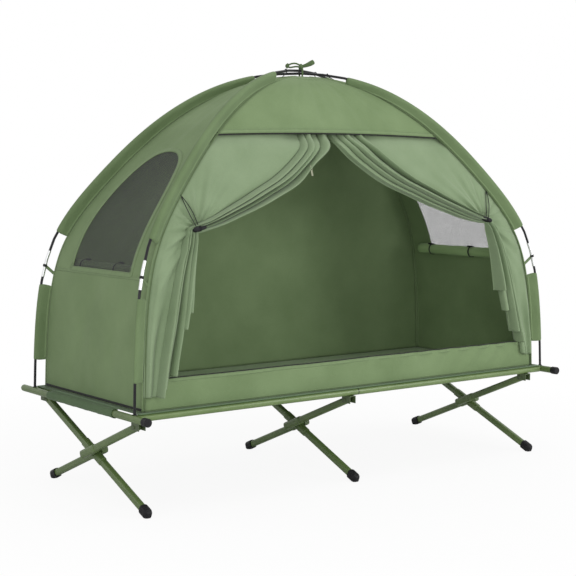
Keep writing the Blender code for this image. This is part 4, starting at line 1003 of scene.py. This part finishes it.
def curtain_row(side, down, across):
    """Points across a curtain from seam to free edge, at a share down from the valance to the hem."""
    upper = min(down / 0.5, 1.0)
    lower = max(down - 0.5, 0.0) / 0.5
    inner = np.clip((across - FLAT_SHARE) / (1 - FLAT_SHARE), 0, 1)
    knee = 0.72 - 0.08 * upper - 0.34 * lower**0.9
    stray = 0.028 * np.sin(FULL_TURN * 1.3 * inner + 2.2 * down + side)
    stray = stray * smooth_step(inner * 4) * smooth_step((1 - inner) * 4)
    fold = FULL_TURN * PLEATS * (inner + stray)
    lean = 0.95 * np.sin(fold) / (FULL_TURN * PLEATS) * smooth_step(inner * 9) * smooth_step((1 - inner) * 9)
    weight = np.where(across < FLAT_SHARE, across * knee / FLAT_SHARE, knee + (1 - knee) * (inner - lean))
    outer_z, inner_x, inner_z = curtain_outline(side, upper, lower, inner)
    outer_x = half_length(outer_z) - SEAM_MARGIN
    x = outer_x + (inner_x - outer_x) * weight
    z = outer_z + (inner_z - outer_z) * weight

    swell = 0.030 + 0.024 * math.sin(math.pi * upper) + 0.016 * lower - 0.016 * hump(down - 0.5, 0.03)
    uneven = 1 + 0.32 * np.sin(FULL_TURN * 1.9 * inner + 1.4 * side + 2.0 * down)
    edge = 1 - 0.45 * smooth_step((inner - 0.78) / 0.12) * (lower == 0)
    pleat = ((0.5 - 0.5 * np.cos(fold)) ** 0.52 * uneven * edge - 0.50) * smooth_step(inner * 22)
    gone = smooth_step((0.16 - upper) / 0.16)
    tuck = (0.015 + 0.014 * smooth_step((across - 0.30) / 0.12)) * gone
    away = np.hypot(x - TOGGLE_X, z - TOGGLE_Z)
    turn = np.arctan2(z - TOGGLE_Z, x - TOGGLE_X)
    pull = 0.0056 * np.sin(13 * turn + 1.0 + side) + 0.0026 * np.sin(31 * turn + 2.0)
    pull = pull * np.exp(-away / 0.42)
    hang = 0.0060 * lower * np.sin(FULL_TURN * 3.1 * across + 1.3 * side - 1.1 * lower)
    soft = ripple(across, down, ((0.0030, 2.6, 1.1, 0), (0.0018, 1.2, -3.1, 0)))
    gathered = smooth_step(inner * 5)
    calm = np.clip(across * 8, 0, 1) * (0.0070 + (pull + soft + hang) * (1 - 0.75 * gathered))
    out = swell * pleat + (calm + 0.004 * gathered) * (1 - gone) - tuck
    if side < 0 and lower == 0:
        out = out - 0.033 * hump(z - ZIP_PULL_HEIGHT, 0.052) * smooth_step((inner - 0.48) / 0.20)
    over_sill = np.clip((WALL_FOOT + 0.16 - z) / 0.03, 0, 1) * 0.0026
    bow = 0.010 * (1 - (x / half_length(VALANCE_EDGE)) ** 2) * max(0.0, 1 - upper / 0.4)
    return np.stack([side * x, -half_width(z) - out - over_sill, z + np.maximum(bow, 0)], axis=-1)


def build_curtain(name, side):
    """A curtain whose top tucks in behind the front panel, and the binding down its free edge."""
    across = np.concatenate([np.linspace(0, FLAT_SHARE, 60)[:-1], np.linspace(FLAT_SHARE, 1, 220)])
    rows = []
    for rise in (0.024, 0.012):
        row = curtain_row(side, 0.0, across)
        row[:, 1] += half_width(row[:, 2]) - half_width(row[:, 2] + rise)
        row[:, 2] += rise
        rows.append(row)
    for down in np.linspace(0.0, 1, CURTAIN_ROWS):
        rows.append(curtain_row(side, down, across))
    curtain = cloth_grid("curtain_cloth_" + name, rows, CURTAIN_CLOTH, flip=side < 0)
    on_tent(curtain, "curtain_" + name, slot="curtain_cloth")
    edge = [row[-1] - (0, 0.0006, 0) for row in rows[3:]]
    hem = round_tube("curtain_edge_" + name, edge, 0.0021, CURTAIN_TAPE, sides=8)
    on_tent(hem, slot="curtain_cloth")


def build_toggle(name, side):
    """A black toggle through the curtain's loop, on two strands of elastic cord from the corner seam."""
    centre = Vector((side * TOGGLE_X, -half_width(TOGGLE_Z) - 0.021, TOGGLE_Z))
    lean = Vector((1, 0, 0.22 * -side)).normalized()
    places = np.linspace(-0.5, 0.5, 21)
    points = [centre + lean * p * 0.056 for p in places]
    radius = 0.0006 + 0.0082 * (1 - np.abs(2 * places) ** 5) ** 0.5
    radius = radius - 0.0012 * np.cos(FULL_TURN * places) ** 6
    pieces = [round_tube("toggle_body_" + name, points, radius, BLACK_PLASTIC, sides=18)]
    top = Vector((side * (half_length(1.058) - 0.006), -half_width(1.058) - 0.0024, 1.058))
    for which in (-1, 1):
        end = centre + Vector((side * 0.006 + which * 0.004, 0.002, 0.003))
        middle = (top + end) / 2 + Vector((which * 0.006, -0.004, 0.002))
        strand = smooth_line([top, middle, end], 28)
        pieces.append(round_tube("toggle_strand_" + name, strand, 0.0014, BLACK_PLASTIC, sides=10))
    for shift in (-0.0032, 0.0, 0.0032):
        turns = np.linspace(0, FULL_TURN, 25)
        loop = [centre + lean * shift + Vector((0, math.cos(t), math.sin(t))) * 0.0084 for t in turns]
        pieces.append(round_tube("toggle_wrap_" + name, loop, 0.0014, BLACK_PLASTIC, sides=8))
    whole = join("curtain_toggle_piece_" + name, pieces)
    on_tent(whole, "curtain_toggle_" + name, slot="black_plastic")


def build_zip_slider():
    """The door zip's slider with the ring that carries its pull."""
    pieces = []
    for x_size, y_size, z_size, drop in ((0.010, 0.0062, 0.011, 0.0), (0.006, 0.0078, 0.0042, 0.0008)):
        select()
        bpy.ops.mesh.primitive_cube_add(size=1, location=(ZIP_X, -0.2508, ZIP_PULL_HEIGHT - drop))
        block = bpy.context.active_object
        block.scale = (x_size, y_size, z_size)
        bpy.ops.object.transform_apply(location=True, rotation=True, scale=True)
        rounding = block.modifiers.new("rounding", "BEVEL")
        rounding.width = 0.0014
        rounding.segments = 4
        apply_all(block)
        pieces.append(block)
    select()
    bpy.ops.mesh.primitive_torus_add(
        location=(ZIP_X, -0.2560, ZIP_PULL_HEIGHT - 0.0075),
        rotation=(math.pi / 2, 0, 0.2),
        major_radius=0.0050,
        minor_radius=0.0010,
        major_segments=36,
        minor_segments=10,
    )
    bpy.ops.object.transform_apply(location=True, rotation=True, scale=True)
    pieces.append(bpy.context.active_object)
    for piece in pieces:
        piece.data.materials.append(PULL_METAL)
    slider = join("zip_slider", pieces)
    bpy.ops.object.shade_smooth_by_angle(angle=math.radians(35))
    select()
    on_tent(slider, slot="zip_metal")


# Rolled window covers
ROLL_RADIUS = 0.0225
ROLL_CORE = 0.004
ROLL_HEIGHT = 0.800
ROLL_TURNS = 6
ROLL_HALF_WIDTH = 0.238
ROLL_TIES = (0.165, -0.072)


def build_roll(name, side):
    """A rolled cover under its window, drawn in by two ties, each with a small toggle."""
    height = ROLL_HEIGHT
    x = side * (half_length(height) - 0.0300)
    ys = np.linspace(-ROLL_HALF_WIDTH, ROLL_HALF_WIDTH, 60)
    tie = sum(hump(ys - place, 0.012) for place in ROLL_TIES)
    rows = []
    for share in np.linspace(0, 1, ROLL_TURNS * 30 + 1):
        turn = -FULL_TURN * ROLL_TURNS * share * side
        sag = 0.0008 * np.sin(31 * ys + 2 * share) + 0.0006 * np.sin(67 * ys + turn)
        r = (ROLL_CORE + (ROLL_RADIUS - ROLL_CORE) * share) * (1 - 0.09 * tie) + sag * share
        slump = -0.0012 * np.cos(9 * ys) * share
        row = [x - side * 0.001 + r * math.cos(turn), ys, height + r * 0.96 * math.sin(turn) + slump]
        rows.append(np.stack(row, axis=-1))
    cloth = cloth_grid("rolled_cover_" + name, rows, ROLL_CLOTH, thickness=0.0009, flip=side > 0, offset=0)
    on_tent(cloth, "window_roll_" + name)
    round_turns = np.linspace(0, FULL_TURN, 41)
    for number, place in enumerate(ROLL_TIES):
        loop = [(x + 0.0226 * math.cos(t), place, height + 0.0222 * math.sin(t)) for t in round_turns]
        outward = [(math.cos(t), 0, math.sin(t)) for t in round_turns]
        band = tape(f"roll_tie_{name}_{number}", loop, outward, 0.007, BLACK_TAPE, thickness=0.0010)
        places = np.linspace(-0.5, 0.5, 17)
        points = [(x - side * 0.0112, place + p * 0.038, height + 0.0225) for p in places]
        size = 0.0031 * (1 - np.abs(2 * places) ** 6) ** 0.5 + 0.0003
        toggle = round_tube(f"roll_toggle_{name}_{number}", points, size, BLACK_PLASTIC, sides=14)
        on_tent(band)
        on_tent(toggle)


# Top tie
def build_top_tie():
    """The bow that hangs the tent's peak from the pole crossing."""
    crossing = BAR_TOP + POLE_RISE + POLE_DIAMETER + 0.0006
    centre = Vector((0, 0, crossing + 0.0103))
    turn = math.radians(-36.7)
    beside = Vector((math.cos(turn), math.sin(turn), 0))
    through = Vector((-math.sin(turn), math.cos(turn), 0))
    rise = Vector((0, 0, 1))

    def bow_line(shape, count):
        return smooth_line([centre + beside * 0.050 * a + rise * 0.020 * b for a, b in shape], count)

    loop = ((0.0, 0.1), (-0.4, 0.62), (-0.85, 0.45), (-1.0, 0.1), (-0.8, -0.12), (-0.4, 0.02), (0.0, -0.1))
    knob = ((-0.92, 0.42), (-1.06, 0.16), (-0.96, -0.06))
    tail = ((0, 0), (0.32, 0.2), (0.68, 0.55), (1.0, 1.0))
    wide = np.interp(np.linspace(0, 1, 30), (0, 0.3, 0.75, 0.96, 1), (0.0048, 0.0066, 0.0096, 0.0090, 0.004))
    pieces = [
        ribbon("tie_loop", bow_line(loop, 48), through, 0.014, 0.0062),
        round_tube("tie_knob", bow_line(knob, 14), 0.0066, BOW_CLOTH, sides=14),
        round_tube("tie_tail", bow_line(tail, 30), wide, BOW_CLOTH, sides=16),
    ]
    for step, tilt in enumerate((-0.5, 0.1, 0.65)):
        axis = (beside + rise * tilt).normalized()
        first = axis.cross(through).normalized()
        middle = centre + axis * 0.0018 * (step - 1)
        turns = np.linspace(0, FULL_TURN, 29)
        ring = [middle + first * 0.0068 * math.cos(t) + through * 0.0072 * math.sin(t) for t in turns]
        pieces.append(round_tube("tie_knot", ring, 0.0042, BOW_CLOTH))
    low = APEX + 0.012
    for side in (-1, 1):
        y = side * (POLE_DIAMETER / 2 + 0.0042)
        top = [(0, y / 2, centre.z), (0, y * 1.1, crossing - 0.002)]
        cord = smooth_line(top + [(0, y * 1.05, crossing - 0.019), (0, y * 0.9, low)], 30)
        pieces.append(round_tube("tie_cord", cord, 0.0034, BOW_CLOTH, sides=10))
    on_tent(join("top_bow", pieces), "top_tie")


def ribbon(name, points, across, width, thickness):
    """A soft flat band along points, its width along one direction."""
    points = np.asarray(points)
    section = ((-1, 0), (-0.8, 0.8), (0, 1), (0.8, 0.8), (1, 0), (0.8, -0.8), (0, -1), (-0.8, -0.8))
    verts = []
    for point, out in zip(points, unit(np.cross(np.gradient(points, axis=0), across))):
        for place, high in section:
            verts.append(point + np.array(across) * place * width / 2 + out * high * thickness / 2)
    faces = grid_faces(len(points), len(section), closed=True, capped=True)
    return face_outwards(make_mesh(name, verts, faces, BOW_CLOTH))


# Bed
BED_HALF_X = BAR_X - 0.004
BED_HALF_Y = 0.3725
NOTCH_X = BAR_X - 0.0135
NOTCH_Y = 0.235
SLEEVE_RADIUS = 0.0143


def on_bed(piece):
    """Puts cloth on the cot's frame, with a mesh of its own."""
    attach(piece, "cot_frame")
    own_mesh(piece)


def bed_places(half, notch, count):
    """Places evenly from side to side of the bed, with its notch's two among them."""
    return np.unique(np.round(np.append(np.linspace(-half, half, count), (-notch, notch)), 5))


def build_bed():
    """The bed's panel, cut away at its corners, the sleeves round the end bars, and its sewn hems."""
    xs = bed_places(BED_HALF_X, NOTCH_X, 150)
    ys = bed_places(BED_HALF_Y, NOTCH_Y, 50)
    points = []
    for y in ys:
        for x in xs:
            free = (1 - (x / BED_HALF_X) ** 2) * (1 - (y / BED_HALF_Y) ** 2)
            points.append((x, y, BED_TOP - 0.0008 * free))
    faces = []
    for face in grid_faces(len(ys), len(xs)):
        middle = np.mean([points[v] for v in face], axis=0)
        if abs(middle[0]) < NOTCH_X or abs(middle[1]) < NOTCH_Y:
            faces.append(face)
    panel = make_mesh("bed_panel", *keep_used(points, faces), BED_CLOTH)
    on_bed(thicken(panel, 0.0014))
    for name, sign in SIDES:
        rows = []
        for y in np.linspace(-NOTCH_Y, NOTCH_Y, 70):
            ring = []
            for turn in np.linspace(math.pi / 2, math.pi / 2 - FULL_TURN, 33):
                r = SLEEVE_RADIUS + 0.0004 * math.sin(60 * y + 2 * turn) + 0.0003 * math.sin(137 * y - turn)
                ring.append((sign * (BAR_X + r * math.cos(turn)), y, RAIL_HEIGHT + r * math.sin(turn)))
            rows.append(ring)
        sleeve = cloth_grid("bed_sleeve_" + name, rows, BED_CLOTH, thickness=0.0012, flip=sign > 0)
        on_bed(sleeve)
        if name == "left":
            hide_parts("bed_sheet")
        reach = NOTCH_Y - 0.004
        line = [(sign * (BAR_X - 0.022), y, BED_TOP) for y in np.linspace(-reach, reach, 60)]
        on_bed(tape("bed_sleeve_seam_" + name, line, (0, 0, 1), 0.012, BED_TAPE, lift=0.0))
    for name, sign in (("front", -1), ("rear", 1)):
        line = [(x, sign * (BED_HALF_Y - 0.008), BED_TOP) for x in np.linspace(-NOTCH_X, NOTCH_X, 160)]
        hem = tape("bed_side_hem_" + name, line, (0, 0, 1), 0.014, BED_TAPE, lift=0.0)
        on_bed(hem)


# Hard nodes keep their shape and take their finish
def finish_nodes():
    looks = (
        ("end_bar_", LEG_PAINT),
        ("leg_", LEG_PAINT),
        ("end_cap_", BLACK_PLASTIC),
        ("boot_", BLACK_PLASTIC),
        ("front_rail_joiner", BRIGHT_METAL),
        ("rear_rail_joiner", BRIGHT_METAL),
        ("rear_rail_", LIT_RAIL_PAINT),
        ("front_rail_", LIT_RAIL_PAINT),
        ("rear_bracket_", BRACKET_PAINT),
        ("front_bracket_", BRACKET_PAINT),
        ("pole_ferrule_", FERRULE_METAL),
        ("pole_front_", POLE_BLACK),
        ("zip_pull", PULL_METAL),
    )
    for name, node in NODES.items():
        for start, look in looks:
            if name.startswith(start):
                node.data.materials.clear()
                node.data.materials.append(look)
                break


add_camera()
add_world()
for lamp in LAMPS:
    add_lamp(*lamp)
add_floor()
finish_nodes()
for side_name, side_sign in SIDES:
    build_end_wall(side_name, side_sign)
build_rear_wall()
build_front_panel()
build_sill()
build_floor_sheet()
build_corner_seams()
build_peak_patch()
build_pole_hooks()
for sleeve_corner in CORNERS:
    build_sleeve("upper", sleeve_corner, 31.5, 81.0, 0.0125, 96)
    build_sleeve("lower", sleeve_corner, 5.7, 21.0, 0.0080, 34)
build_straps()
for side_name, side_sign in SIDES:
    build_curtain(side_name, side_sign)
    build_toggle(side_name, side_sign)
    build_roll(side_name, side_sign)
build_zip_slider()
build_top_tie()
build_bed()

bpy.context.scene.view_settings.view_transform = "Standard"
